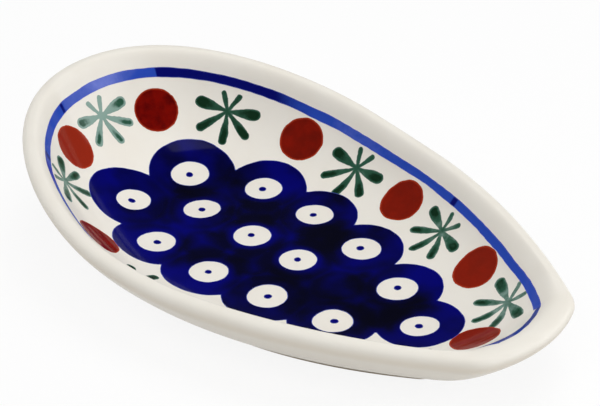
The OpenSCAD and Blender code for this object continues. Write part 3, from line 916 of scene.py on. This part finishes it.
def pressed(dish, points, ways):
    """Moves points along their own directions until they lie on the bowl."""
    travel = np.zeros(len(points))
    for _ in range(PRESSES):
        here = points + ways * travel[:, None]
        travel += (dish.bowl(here[:, :2]) - here[:, 2]) * ways[:, 2]
    return points + ways * travel[:, None]


def read(mesh, key, width, field):
    """Numbers kept on the points of a mesh, one row for each point."""
    numbers = np.zeros(len(mesh.vertices) * width, np.float32)
    mesh.attributes[key].data.foreach_get(field, numbers)
    return numbers.reshape(-1, width).astype(float)


# Where the stamps stand

# Stamps: half of the sheet in radii of the stamp, mesh step, height over the glaze, spread of
# the sizes, seed
STAMPS = {
    "pupil": (1.2, 0.16 * MM, 0.03 * MM, 0.08, 3),
    "dot": (1.1, 0.32 * MM, 0.024 * MM, 0.02, 7),
    "sprig": (1.1, 0.17 * MM, 0.02 * MM, 0.03, 9),
}
# The sheet of the joined discs: margin in disc radii, mesh step, height over the glaze and seed
DISC_MARGIN, DISC_STEP, DISC_LIFT, DISC_SEED = 1.15, 0.3 * MM, 0.034 * MM, 5
# Sizes of the waves by which the edges of small stamps and of the discs wander
STAMP_WANDER, DISC_WANDER = (2.4 * MM, 0.9 * MM), (5 * MM, 1.6 * MM)
# How often a point is moved on before it lies on the bowl
PRESSES = 12
# Eyes: place in disc radii from the middle of the dish, half axes in eye radii, turn in degrees
EYES = (
    (3.97, -0.12, 0.98, 0.88, 59), (2.65, 0.65, 1.07, 0.98, 66), (2.46, -1.23, 1.00, 1.05, 20),
    (0.99, 1.29, 1.03, 1.00, 13), (0.75, -1.51, 1.02, 1.06, 12), (-0.79, 1.61, 1.02, 0.92, 29),
    (-0.88, -1.73, 1.02, 0.97, 65), (-2.44, 1.57, 1.02, 0.94, 48), (-2.57, -1.76, 0.92, 1.06, -6),
    (-4.07, 0.70, 0.95, 1.07, -20), (-4.13, -1.07, 0.85, 0.99, -8), (-2.89, -0.03, 1.01, 0.85, 60),
    (-1.23, -0.01, 0.98, 1.00, -35), (0.24, -0.01, 0.96, 0.98, -22),
)
# The disc of each eye: how far it is off the eye in millimetres, size in disc radii
DISCS = (
    (-0.5, 0.5, 0.97), (0.4, 0.8, 0.93), (0.0, 0.0, 1.0), (-0.2, -0.5, 1.02), (0.1, 0.1, 1.03),
    (0.4, -0.5, 1.02), (-0.5, 0.0, 1.04), (0.3, 0.1, 1.01), (-0.2, -0.8, 0.95), (0.1, 0.5, 1.05),
    (-0.1, -0.3, 1.08), (0.0, 0.0, 1.0), (0.0, 0.0, 1.0), (0.0, 0.0, 1.0),
)
# How far the dot in each eye is off its middle, in millimetres
PUPILS = (
    (-0.13, -0.10), (-0.18, 0.28), (0.14, 0.24), (-0.38, 0.04), (0.15, 0.06), (-0.09, -0.21), (-0.08, -0.08),
    (-0.09, -0.21), (0.17, 0.02), (0.03, -0.17), (0.02, -0.45), (0.11, -0.15), (-0.29, 0.0), (-0.13, 0.02),
)
# Dabs between the discs: place in disc radii from the middle of the dish, size in dab radii
DABS = (
    (2.97, -0.33, 1.0), (1.61, -0.17, 1.0), (0.01, 0.98, 1.0), (-0.48, -0.76, 1.0), (-1.74, -1.01, 1.0),
    (-1.82, 0.79, 1.0), (-3.07, -1.02, 0.4), (1.76, 0.59, 0.4),
)
# How much colour the brush left along the band, with painted light in it: share of the way round, amount.
# The short dark spots are brush overlaps. The deep stretch from 0.36 to 0.447 with its sharp edge, and the
# pale stretch near 0.49 to 0.5, are partly real and partly a painted reflection: paler where the glaze
# mirrors a soft box, and painted shade, deeper, where it does not.
BAND_LOADS_AND_LIGHT = (
    (0.0, 0.4), (0.0981, 0.42), (0.1765, 0.42), (0.178, 0.9), (0.1815, 0.9), (0.183, 0.42), (0.2488, 0.36),
    (0.279, 0.24), (0.295, 0.24), (0.3192, 0.48), (0.3443, 0.7), (0.3593, 0.95), (0.4468, 0.95),
    (0.4481, 0.4), (0.4699, 0.36), (0.4869, 0.12), (0.5, 0.1), (0.5151, 0.3), (0.5402, 0.38),
    (0.5412, 0.9), (0.5437, 0.9), (0.5452, 0.42), (0.6005, 0.42), (0.6025, 0.8), (0.6065, 0.8),
    (0.6085, 0.42), (1.0, 0.4),
)
# How much nearer to the rim the brush ran on the near side of the back: share of the way
# round, millimetres
BAND_RISES = (
    (0.0, 0.0), (0.52, 0.0), (0.55, 0.5), (0.57, 0.8), (0.618, 1.8), (0.66, 0.6), (0.72, 0.0), (1.0, 0.0),
)
# How far the fine line has climbed up the rim's roll: place from the near corner, -1, to the
# far one, 1, and share of the whole climb
LINE_BEND = ((-1.0, 0.4), (-0.7, 1.0), (1.0, 0.0))
# Border stamps: share of the way round from the middle of the flat end, distance in from the
# outline in millimetres, turn in degrees, paleness
DOTS = (
    (0.1233, 9.9, 0, 0.55), (0.2188, 10.1, 0, 0.4), (0.3242, 10.0, 0, 0.25), (0.4512, 10.7, 0, 0.0),
    (0.5630, 9.4, 0, 0.9), (0.6690, 9.5, 0, 0.3), (0.7733, 10.3, 0, 0.2), (0.8747, 10.0, 0, 0.1),
    (0.0, 16.0, 0, 0.5),
)
SPRIGS = (
    (0.0785, 9.2, 4, 0.5), (0.1723, 9.75, 10, 0.35), (0.2699, 9.7, 0, 0.2), (0.3883, 9.5, 0, 0.0),
    (0.5089, 9.4, 0, 0.95), (0.6125, 7.8, 0, 0.55), (0.7232, 7.9, 0, 0.2), (0.8250, 8.5, -6, 0.3),
    (0.9195, 8.6, 4, 0.1),
)
# Strokes of a sprig: angle from the rim's direction, kind
STROKES = (
    (-25, "thin"), (27, "thin"), (-84, "fat"), (86, "fat"), (-136, "slim"), (174, "slim"), (131, "slim"),
)
# Width of the strokes at the sprig's middle and near their tips, and how fast they widen
ROOT_WIDTH = 0.7 * MM
STROKE_WIDTHS = {"thin": 1.2 * MM, "fat": 2.6 * MM, "slim": 1.95 * MM}
STROKE_SWELL = 1.15


def border_spots(dish, stamps):
    """Place, direction and paleness of each border stamp."""
    spots = []
    for at, inset, turn, tint in stamps:
        out = dish.at_share(dish.loop, np.array([at]))[0]
        way = unit_rows(dish.at_share(dish.facing, np.array([at])))[0]
        a = -math.radians(turn)
        sideways = way[0] * math.cos(a) - way[1] * math.sin(a)
        turned = [sideways, way[0] * math.sin(a) + way[1] * math.cos(a)]
        spots.append((out - way * inset * MM, turned, tint))
    return spots


def stamp_object(name, field, reach, step):
    """A flat stamp, with how deep each point lies inside its edge and how far out it is."""
    plan, faces = contour_mesh(field, (-reach, -reach), (reach, reach), step)
    values = {"edge": field(plan) / MM, "out": np.hypot(plan[:, 0], plan[:, 1]) / MM}
    return new_mesh(name, np.column_stack([plan, np.zeros(len(plan))]), faces.tolist(), values)


def disc_field(radius):
    """Depth inside the edge of a round stamp."""
    return lambda plan: radius - np.hypot(plan[..., 0], plan[..., 1])


def sprig_field(paint):
    """Depth inside the edge of whichever stroke of the sprig holds a point deepest."""
    reach = {"thin": paint.thin_stroke, "fat": paint.fat_petal, "slim": paint.slim_petal}

    def field(plan):
        depths = []
        for degrees, kind in STROKES:
            a = math.radians(degrees)
            along = plan[..., 0] * math.sin(a) + plan[..., 1] * math.cos(a)
            across = plan[..., 0] * math.cos(a) - plan[..., 1] * math.sin(a)
            tip = STROKE_WIDTHS[kind] / 2
            full = reach[kind] - tip
            t = np.clip(along / full, 0, 1)
            half = ROOT_WIDTH / 2 + (tip - ROOT_WIDTH / 2) * smooth_step(t * STROKE_SWELL)
            depths.append(half - np.hypot(across, along - t * full))
        return np.max(depths, 0)

    return field


# The pieces

# Rows of the face between the glaze and the clay
INNER_ROWS = 30
# Rolled lower edge of the glaze: share of its thickness inwards, share of the way up the glazed
# part of the foot
GLAZE_ROLL = ((0.08, 0.14), (0.35, 0.02), (0.7, 0.0))
# How thin the glaze is at the arris, where it also paints a shade line, and over how many rows; how dark
# the painted shade of the outer wall is at its top, and how much darker it grows at its bottom
ARRIS_THINNESS_AND_SHADE, ARRIS_SPREAD, WALL_SHADE, WALL_SHADE_GROWTH = 0.75, 2.2, 0.25, 0.5
# Rounded edges of the bare foot: inwards from the glaze or outwards from the hollow, and the
# degrees of the rows
FOOT_OUTSIDE, FOOT_INSIDE = (-1, (30, 60, 90)), (1, (90, 45, 0))
# The pool in the foot: size of its first ring; distance in from the hollow's wall in millimetres
# and drop in glaze thicknesses at its edge; sizes of its last rings; thinness of the glaze
POOL_START = 0.5
POOL_EDGE = ((0, 1.25), (0.25, 1.1), (0.7, 1.02), (1.6, 1.0))
POOL_SHARES = (0.75, 0.5, 0.25)
POOL_THINNESS = (0.2, 0.4, 0.8, 0.6, 0.3, 0.15, 0.1, 0.1, 0.1)
POLE_THINNESS = (0.1, 0.1)
# Painted strips: rows across, steps along the band and the line, heights over the glaze, seeds
STRIP_ROWS, BAND_STEPS, LINE_STEPS = 7, 1100, 160
BAND_LIFT, LINE_LIFT = 0.03 * MM, 0.026 * MM
BAND_SEED, LINE_SEED = 11, 23
# Sizes of the waves by which a brush wanders, and how far apart its two edges read them
BRUSH_WANDER = (9 * MM, 2.5 * MM)
EDGE_APART = 20 * MM
# How much colour the fine line holds
LINE_LOAD = 0.72


def given(context):
    """The dish, the paint's sizes and the colours that a user has set."""
    scene = context.scene
    return Dish(scene.spoon_dish), scene.spoon_paint, scene.spoon_colours


def glazed_rows(dish):
    """The glaze's outer rows, and the clay's rows under it."""
    outer, facing, out = dish.section()
    sizes = dish.s
    normals = grid_normals(outer)
    picked = np.unique(np.round(np.linspace(0, FOOT_ROW - 1, INNER_ROWS)).astype(int))
    inner = outer[picked] - normals[picked] * sizes.glaze
    last = level_ring(dish.foot(out) - facing * sizes.glaze, sizes.bare_height)
    return outer, np.concatenate([inner, [last]]), facing, out


def glaze_thinness_and_shade(row_count):
    """How much of the thin glaze colour each row takes: thinner glaze with a painted shade line over the
    arris, and painted shade down the outer wall that grows darker towards the foot.
    """
    past = np.arange(row_count) - ARRIS_ROW
    thin = ARRIS_THINNESS_AND_SHADE * np.exp(-0.5 * (past / ARRIS_SPREAD) ** 2)
    on_wall = np.maximum(thin, WALL_SHADE + WALL_SHADE_GROWTH * past / WALL_ROWS)
    return np.clip(np.where(past > 0, on_wall, thin), 0, 1)


class SPOONREST_OT_glazed_dish(bpy.types.Operator):
    """Shapes the white glaze over the whole dish"""

    bl_idname = "spoonrest.glazed_dish"
    bl_label = "Glazed dish"

    def execute(self, context):
        dish, _, colours = given(context)
        outer, inner, facing, out = glazed_rows(dish)
        sizes = dish.s
        roll = []
        for depth, height in GLAZE_ROLL:
            ring = dish.foot(out) - facing * sizes.glaze * depth
            roll.append(level_ring(ring, dish.foot_level(height)))
        rows = np.concatenate([outer, roll, inner[::-1]])
        top = [dish.low_x, 0, sizes.floor_height]
        under = [dish.low_x, 0, sizes.floor_height - sizes.glaze]
        points, faces = ring_solid(rows, top, under)
        # These numbers hold the thinner glaze at the arris and the painted shade of the outer wall
        thin = np.repeat(glaze_thinness_and_shade(len(rows)), COLUMNS)
        values = {"thin": np.concatenate([thin, [0, 0]])}
        piece = new_mesh("glazed_dish", points, faces, values, white_glaze(colours))
        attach(piece, BODY)
        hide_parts("glaze_coat")
        return {"FINISHED"}


class SPOONREST_OT_clay_body(bpy.types.Operator):
    """Shapes the clay under the glaze, with its bare foot"""

    bl_idname = "spoonrest.clay_body"
    bl_label = "Clay body"

    def execute(self, context):
        dish, _, colours = given(context)
        _, inner, facing, out = glazed_rows(dish)
        sizes = dish.s
        foot = dish.foot(out) - facing * sizes.glaze
        hollow = dish.hollow(out)
        lower = [level_ring(foot, sizes.foot_round)]
        for outline, (side, degrees) in ((foot, FOOT_OUTSIDE), (hollow, FOOT_INSIDE)):
            for turn in np.radians(degrees):
                ring = outline + facing * side * sizes.foot_round * (1 - math.cos(turn))
                lower.append(level_ring(ring, sizes.foot_round * (1 - math.sin(turn))))
        lower.append(level_ring(hollow, sizes.hollow_depth))
        rows = np.concatenate([inner, lower])
        top = [dish.low_x, 0, sizes.floor_height - sizes.glaze]
        under = [sizes.foot_shift, 0, sizes.hollow_depth]
        points, faces = ring_solid(rows, top, under)
        piece = new_mesh("clay_body", points, faces, None, bare_clay(colours))
        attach(piece, BODY)
        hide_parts("stoneware_body")
        return {"FINISHED"}


class SPOONREST_OT_base_glaze(bpy.types.Operator):
    """Fills the hollow of the foot with its thin glaze"""

    bl_idname = "spoonrest.base_glaze"
    bl_label = "Base glaze"

    def execute(self, context):
        dish, _, colours = given(context)
        sizes = dish.s
        _, facing, out = dish.section()
        ceiling = sizes.hollow_depth
        bottom = ceiling - sizes.glaze
        rows = [level_ring(dish.hollow(out, POOL_START), ceiling), level_ring(dish.hollow(out), ceiling)]
        for inset, drop in POOL_EDGE:
            rows.append(level_ring(dish.hollow(out) - facing * inset * MM, ceiling - sizes.glaze * drop))
        for size in POOL_SHARES:
            rows.append(level_ring(dish.hollow(out, size), bottom))
        top = [sizes.foot_shift, 0, ceiling]
        under = [sizes.foot_shift, 0, bottom]
        points, faces = ring_solid(np.array(rows), top, under)
        thin = np.concatenate([np.repeat(POOL_THINNESS, COLUMNS), POLE_THINNESS])
        piece = new_mesh("base_glaze_pool", points, faces, {"thin": thin}, white_glaze(colours))
        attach(piece, BODY)
        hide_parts("base_glaze")
        return {"FINISHED"}


def under_rim(dish, shares, top, bottom, wobble):
    """Rows of places along the bowl under the rim, between two drops below it."""
    wander = Wander(BAND_SEED, BRUSH_WANDER)
    rim = level_ring(dish.at_share(dish.loop, shares), 0)
    upper = top + wander(rim) * wobble
    lower = bottom + wander(rim + [0, 0, EDGE_APART]) * wobble
    rows = []
    for t in np.linspace(0, 1, STRIP_ROWS):
        rows.append(dish.below_rim(shares, upper * (1 - t) + lower * t))
    return np.array(rows).reshape(-1, 2)


def lay_strip(name, surface, facing, along, width, load, material, lift):
    """Closed strip of colour over rows of points that run along it."""
    across = np.linspace(0, 1, STRIP_ROWS)
    count = len(along)
    r, c = np.meshgrid(np.arange(STRIP_ROWS - 1), np.arange(count - 1), indexing="ij")
    here = (r * count + c).ravel()
    lower_half = np.column_stack([here, here + count, here + count + 1])
    upper_half = np.column_stack([here, here + count + 1, here + 1])
    faces = np.vstack([lower_half, upper_half])
    edge = np.minimum(across, 1 - across)[:, None] * width[None, :] / MM
    ends = np.minimum(along - along[0], along[-1] - along)[None, :] / MM
    values = {"load": np.tile(load, STRIP_ROWS), "edge": np.minimum(edge, ends).ravel()}
    if np.cross(*(surface[faces[0][1:]] - surface[faces[0][0]])) @ facing[0] < 0:
        faces = faces[:, ::-1]
    return paint_piece(name, surface, facing, faces, lift, values, material)


class SPOONREST_OT_rim_band(bpy.types.Operator):
    """Paints the cobalt band under the rim"""

    bl_idname = "spoonrest.rim_band"
    bl_label = "Rim band"

    def execute(self, context):
        dish, paint, colours = given(context)
        shares = np.linspace(dish.line_share, 1 - dish.line_share, BAND_STEPS)
        x = dish.at_share(dish.loop, shares)[:, 0]
        back = np.clip((dish.rise_x - x) / paint.back_run, 0, 1)
        front = np.clip((x - dish.end + paint.end_run) / paint.end_run, 0, 1)
        rise = np.interp(shares, *np.array(BAND_RISES).T) * MM
        top = paint.band_top + paint.back_drop * back - paint.end_rise * front**2 - rise
        height = paint.band_height + paint.back_height * back
        # The amount along the band holds a painted reflection and painted shade as well as the brush's load
        load = np.interp(shares, *np.array(BAND_LOADS_AND_LIGHT).T)
        stain = painted_band(colours, "Painted band")
        plan = under_rim(dish, shares, top, top + height, paint.wobble)
        surface, facing = dish.on_bowl(plan), dish.bowl_facing(plan)
        along = shares * dish.girth
        piece = lay_strip("rim_band_paint", surface, facing, along, height, load, stain, BAND_LIFT)
        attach(piece, BODY)
        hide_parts("rim_band")
        return {"FINISHED"}


class SPOONREST_OT_end_line(bpy.types.Operator):
    """Paints the fine line at the flat end"""

    bl_idname = "spoonrest.end_line"
    bl_label = "End line"

    def execute(self, context):
        dish, paint, colours = given(context)
        shares = np.linspace(-dish.line_share, dish.line_share, LINE_STEPS)
        roll = dish.roll(shares)[-1]
        wander = Wander(LINE_SEED, BRUSH_WANDER)
        shake = wander(roll[0])[:, None] * paint.wobble / paint.line_width
        near = np.interp(shares / dish.line_share, *np.array(LINE_BEND).T)[:, None]
        start = paint.line_start + paint.line_climb * near + shake
        reach = paint.line_reach + paint.line_growth * near
        places = [start + reach * t for t in np.linspace(0, 1, STRIP_ROWS)]
        rows = np.array([dish.on_roll(roll, t) for t in places])
        facing = unit_rows(np.cross(rows[-1] - rows[0], np.gradient(rows[0], axis=0)))
        facing = np.tile(facing * np.sign(facing[:, 2:]), (STRIP_ROWS, 1))
        width = np.full(LINE_STEPS, paint.line_width)
        load = np.full(LINE_STEPS, LINE_LOAD)
        stain = painted_band(colours, "Painted line")
        surface = rows.reshape(-1, 3)
        along = shares * dish.girth
        piece = lay_strip("end_line_paint", surface, facing, along, width, load, stain, LINE_LIFT)
        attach(piece, BODY)
        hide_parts("end_line")
        return {"FINISHED"}


class Flats:
    """Flat directions at places on the bowl, in which a stamp's outline is drawn."""

    def __init__(self, dish, centres):
        self.middles = dish.on_bowl(centres)
        normals = dish.bowl_facing(centres)
        self.sideways = unit_rows(np.cross([0, 1, 0], normals))
        self.forward = np.cross(normals, self.sideways)

    def __call__(self, points):
        """Where points lie in each place's own two directions."""
        apart = points[..., None, :] - self.middles
        return (apart * self.sideways).sum(-1), (apart * self.forward).sum(-1)


class SPOONREST_OT_eye_discs(bpy.types.Operator):
    """Stamps the overlapping cobalt discs with their white eyes"""

    bl_idname = "spoonrest.eye_discs"
    bl_label = "Eye discs"

    def execute(self, context):
        dish, paint, colours = given(context)
        eyes = np.array(EYES)
        eye_flats = Flats(dish, eyes[:, :2] * paint.disc)
        discs = np.array(DISCS)
        dabs = np.array(DABS)
        centres = np.vstack([eyes[:, :2] * paint.disc + discs[:, :2] * MM, dabs[:, :2] * paint.disc])
        radii = np.append(discs[:, 2] * paint.disc, dabs[:, 2] * paint.dab)
        disc_flats = Flats(dish, centres)
        wander = Wander(DISC_SEED, DISC_WANDER)
        turns = np.radians(eyes[:, 4])

        def depths(plan):
            """Depth inside the disc and inside the next one, and distance from the nearest eye."""
            points = dish.on_bowl(plan)
            shake = wander(points) * paint.wobble
            u, v = disc_flats(points)
            inside = np.sort(radii - np.hypot(u, v), -1)
            u, v = eye_flats(points)
            along = (u * np.cos(turns) + v * np.sin(turns)) / eyes[:, 2]
            across = (v * np.cos(turns) - u * np.sin(turns)) / eyes[:, 3]
            outside = (np.hypot(along, across) - paint.eye).min(-1)
            return inside[..., -1] - shake, inside[..., -2] - shake, outside + shake

        def field(plan):
            """Depth inside the edge of the colour."""
            inside, _, outside = depths(plan)
            return np.minimum(inside, outside)

        margin = paint.disc * DISC_MARGIN
        low, high = centres.min(0) - margin, centres.max(0) + margin
        plan, faces = contour_mesh(field, low, high, DISC_STEP)
        inside, second, outside = depths(plan)
        values = {
            "edge": np.minimum(inside, outside) / MM,
            "rim": inside / MM,
            "overlap": second / MM,
            "eye": outside / MM,
        }
        stain = cobalt_discs(colours)
        facing = dish.bowl_facing(plan)
        piece = paint_piece("eye_disc_stamps", dish.on_bowl(plan), facing, faces, DISC_LIFT, values, stain)
        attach(piece, BODY)
        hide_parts("eye_discs")
        return {"FINISHED"}


class SPOONREST_OT_eye_pupils(bpy.types.Operator):
    """Stamps the small dot in each eye"""

    bl_idname = "spoonrest.eye_pupils"
    bl_label = "Eye pupils"

    def execute(self, context):
        dish, paint, colours = given(context)
        places = np.array(EYES)[:, :2] * paint.disc + np.array(PUPILS) * MM
        spots = [(place, (1, 0), 0.0) for place in places]
        field, stain = disc_field(paint.pupil), cobalt_pupils(colours)
        piece = stamped("eye_pupil_stamps", "pupil", dish, paint, spots, field, paint.pupil, stain)
        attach(piece, BODY)
        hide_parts("eye_pupils")
        return {"FINISHED"}


class SPOONREST_OT_rust_dots(bpy.types.Operator):
    """Stamps the rust dots of the border"""

    bl_idname = "spoonrest.rust_dots"
    bl_label = "Rust dots"

    def execute(self, context):
        dish, paint, colours = given(context)
        spots = border_spots(dish, DOTS)
        field, stain = disc_field(paint.dot), rust_stain(colours)
        piece = stamped("rust_dot_stamps", "dot", dish, paint, spots, field, paint.dot, stain)
        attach(piece, BODY)
        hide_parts("rust_dots")
        return {"FINISHED"}


class SPOONREST_OT_green_sprigs(bpy.types.Operator):
    """Stamps the green sprigs of the border"""

    bl_idname = "spoonrest.green_sprigs"
    bl_label = "Green sprigs"

    def execute(self, context):
        dish, paint, colours = given(context)
        spots = border_spots(dish, SPRIGS)
        field, stain = sprig_field(paint), green_stain(colours)
        piece = stamped("green_sprig_stamps", "sprig", dish, paint, spots, field, paint.slim_petal, stain)
        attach(piece, BODY)
        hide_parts("green_sprigs")
        return {"FINISHED"}


# Stage

FLOOR_HALF = 3.0
FLOOR_GAP = 0.02 * MM
FLOOR_GREY, WHITE = (0.86, 0.86, 0.86, 1), (1, 1, 1, 1)
# How much of the floor's own white the camera sees, the rest being lit
FLOOR_GLOW = 0.88
# Soft boxes: name, setting of the power, place, point aimed at, width and height, and whether
# the glaze mirrors it
SOFT_BOXES = (
    ("Front light", "front", (0.22, -0.4, 0.55), (0, 0, 0), (0.5, 0.5), False),
    ("Right soft box", "right", (0.53, 0.37, 0.27), (0, 0, 0.02), (1.1, 0.34), True),
    ("Left soft box", "left", (-0.62, -0.17, 0.24), (0, 0, 0.02), (0.6, 0.3), False),
    ("Top soft box", "top", (0.02, 0.14, 0.6), (0, 0, 0), (0.4, 0.4), False),
    ("Sheen", "sheen", (0.03, 0.11, 0.6), (0, 0, 0), (0.16, 0.16), True),
)
# Camera: width of its sensor in millimetres, nearest and farthest sight
SENSOR_WIDTH = 36
NEAREST, FARTHEST = 0.01, 20


def floor_finish():
    """A pale floor that the camera sees as white, and that still takes the dish's shadow."""
    graph = Finish("Pale floor")
    ray = "ShaderNodeLightPath"
    seen = graph.node(ray, output="Is Camera Ray") + graph.node(ray, output="Is Glossy Ray")
    seen = (seen + graph.node(ray, output="Is Transmission Ray")).clipped()
    matt = graph.node("ShaderNodeBsdfDiffuse", None, {"Color": FLOOR_GREY})
    glow = graph.node("ShaderNodeEmission", None, {"Color": WHITE, "Strength": 1.0})
    both = graph.node("ShaderNodeMixShader", None, {0: seen * FLOOR_GLOW, 1: matt, 2: glow})
    graph.node("ShaderNodeOutputMaterial", None, {"Surface": both})
    return graph.material


def stand(name, data, place, right, up, back):
    """Stands a lamp or a camera at a place, looking away from back."""
    item = bpy.data.objects.new(name, data)
    item.matrix_world = Matrix([[right[k], up[k], back[k], place[k]] for k in range(3)] + [[0, 0, 0, 1]])
    bpy.context.scene.collection.objects.link(item)
    return item


def soft_box(name, watts, place, aim, size, mirrored):
    """A rectangular soft light, aimed at a point."""
    light = bpy.data.lights.new(name, "AREA")
    light.shape = "RECTANGLE"
    light.size, light.size_y = size
    light.energy = watts
    back = unit_rows(np.array(place, float) - np.array(aim, float))
    right = unit_rows(np.cross([0, 0, 1], back))
    lamp = stand(name, light, place, right, np.cross(back, right), back)
    lamp.visible_glossy = mirrored


class SPOONREST_OT_stage(bpy.types.Operator):
    """Sets out the floor, the lights and the camera"""

    bl_idname = "spoonrest.stage"
    bl_label = "Stage"

    def execute(self, context):
        scene = context.scene
        self.floor()
        self.lights(scene)
        self.camera(scene)
        scene.view_settings.view_transform = "Standard"
        return {"FINISHED"}

    def floor(self):
        """A broad floor just under the dish."""
        corners = level_ring(np.array([(-1, -1), (1, -1), (1, 1), (-1, 1)]) * FLOOR_HALF, -FLOOR_GAP)
        floor = new_mesh("floor", corners, [[0, 1, 2, 3]], None, floor_finish())

    def lights(self, scene):
        """The even light from all round and the soft boxes."""
        stage = scene.spoon_stage
        world = bpy.data.worlds.new("Studio")
        world.use_nodes = True
        sky = world.node_tree.nodes["Background"]
        sky.inputs["Color"].default_value = WHITE
        sky.inputs["Strength"].default_value = stage.sky
        scene.world = world
        for name, key, place, aim, size, mirrored in SOFT_BOXES:
            soft_box(name, getattr(stage, key), place, aim, size, mirrored)

    def camera(self, scene):
        """The camera, from its turn, height and tilt round the point aimed at."""
        stage = scene.spoon_stage
        a, e, roll = stage.azimuth, stage.elevation, stage.roll
        back = np.array([math.sin(a) * math.cos(e), -math.cos(a) * math.cos(e), math.sin(e)])
        right = np.array([math.cos(a), math.sin(a), 0])
        up = np.cross(back, right)
        side = right * math.cos(roll) + up * math.sin(roll)
        above = up * math.cos(roll) - right * math.sin(roll)
        lens = bpy.data.cameras.new("Camera")
        lens.lens = stage.lens
        lens.sensor_width = SENSOR_WIDTH
        lens.sensor_fit = "HORIZONTAL"
        lens.shift_y = stage.shift
        lens.clip_start, lens.clip_end = NEAREST, FARTHEST
        place = np.array(stage.target) + back * stage.distance
        scene.camera = stand("Camera", lens, place, side, above, back)


class SPOONREST_PT_panel(bpy.types.Panel):
    """Lists the steps and the sizes of the spoon rest"""

    bl_idname = "SPOONREST_PT_panel"
    bl_label = "Spoon Rest"
    bl_space_type = "VIEW_3D"
    bl_region_type = "UI"
    bl_category = "Spoon Rest"

    def draw(self, context):
        for step in STEPS:
            self.layout.operator(step.bl_idname)
        for name in GROUPS:
            group = getattr(context.scene, name)
            box = self.layout.box()
            for key in group.__annotations__:
                box.prop(group, key)


GROUPS = {
    "spoon_dish": DishSizes,
    "spoon_paint": PaintSizes,
    "spoon_colours": PaintColours,
    "spoon_stage": StageSettings,
}
STEPS = (
    SPOONREST_OT_glazed_dish,
    SPOONREST_OT_clay_body,
    SPOONREST_OT_base_glaze,
    SPOONREST_OT_rim_band,
    SPOONREST_OT_end_line,
    SPOONREST_OT_eye_discs,
    SPOONREST_OT_eye_pupils,
    SPOONREST_OT_rust_dots,
    SPOONREST_OT_green_sprigs,
    SPOONREST_OT_stage,
)
CLASSES = (*GROUPS.values(), *STEPS, SPOONREST_PT_panel)


def register():
    """Makes the groups, the steps and the panel known to Blender."""
    for item in CLASSES:
        bpy.utils.register_class(item)
    for key, group in GROUPS.items():
        setattr(bpy.types.Scene, key, bpy.props.PointerProperty(type=group))


def unregister():
    """Takes them away again."""
    for key in GROUPS:
        delattr(bpy.types.Scene, key)
    for item in reversed(CLASSES):
        bpy.utils.unregister_class(item)


def main():
    register()
    for step in STEPS:
        group, name = step.bl_idname.split(".")
        getattr(getattr(bpy.ops, group), name)()


if __name__ == "__main__":
    main()
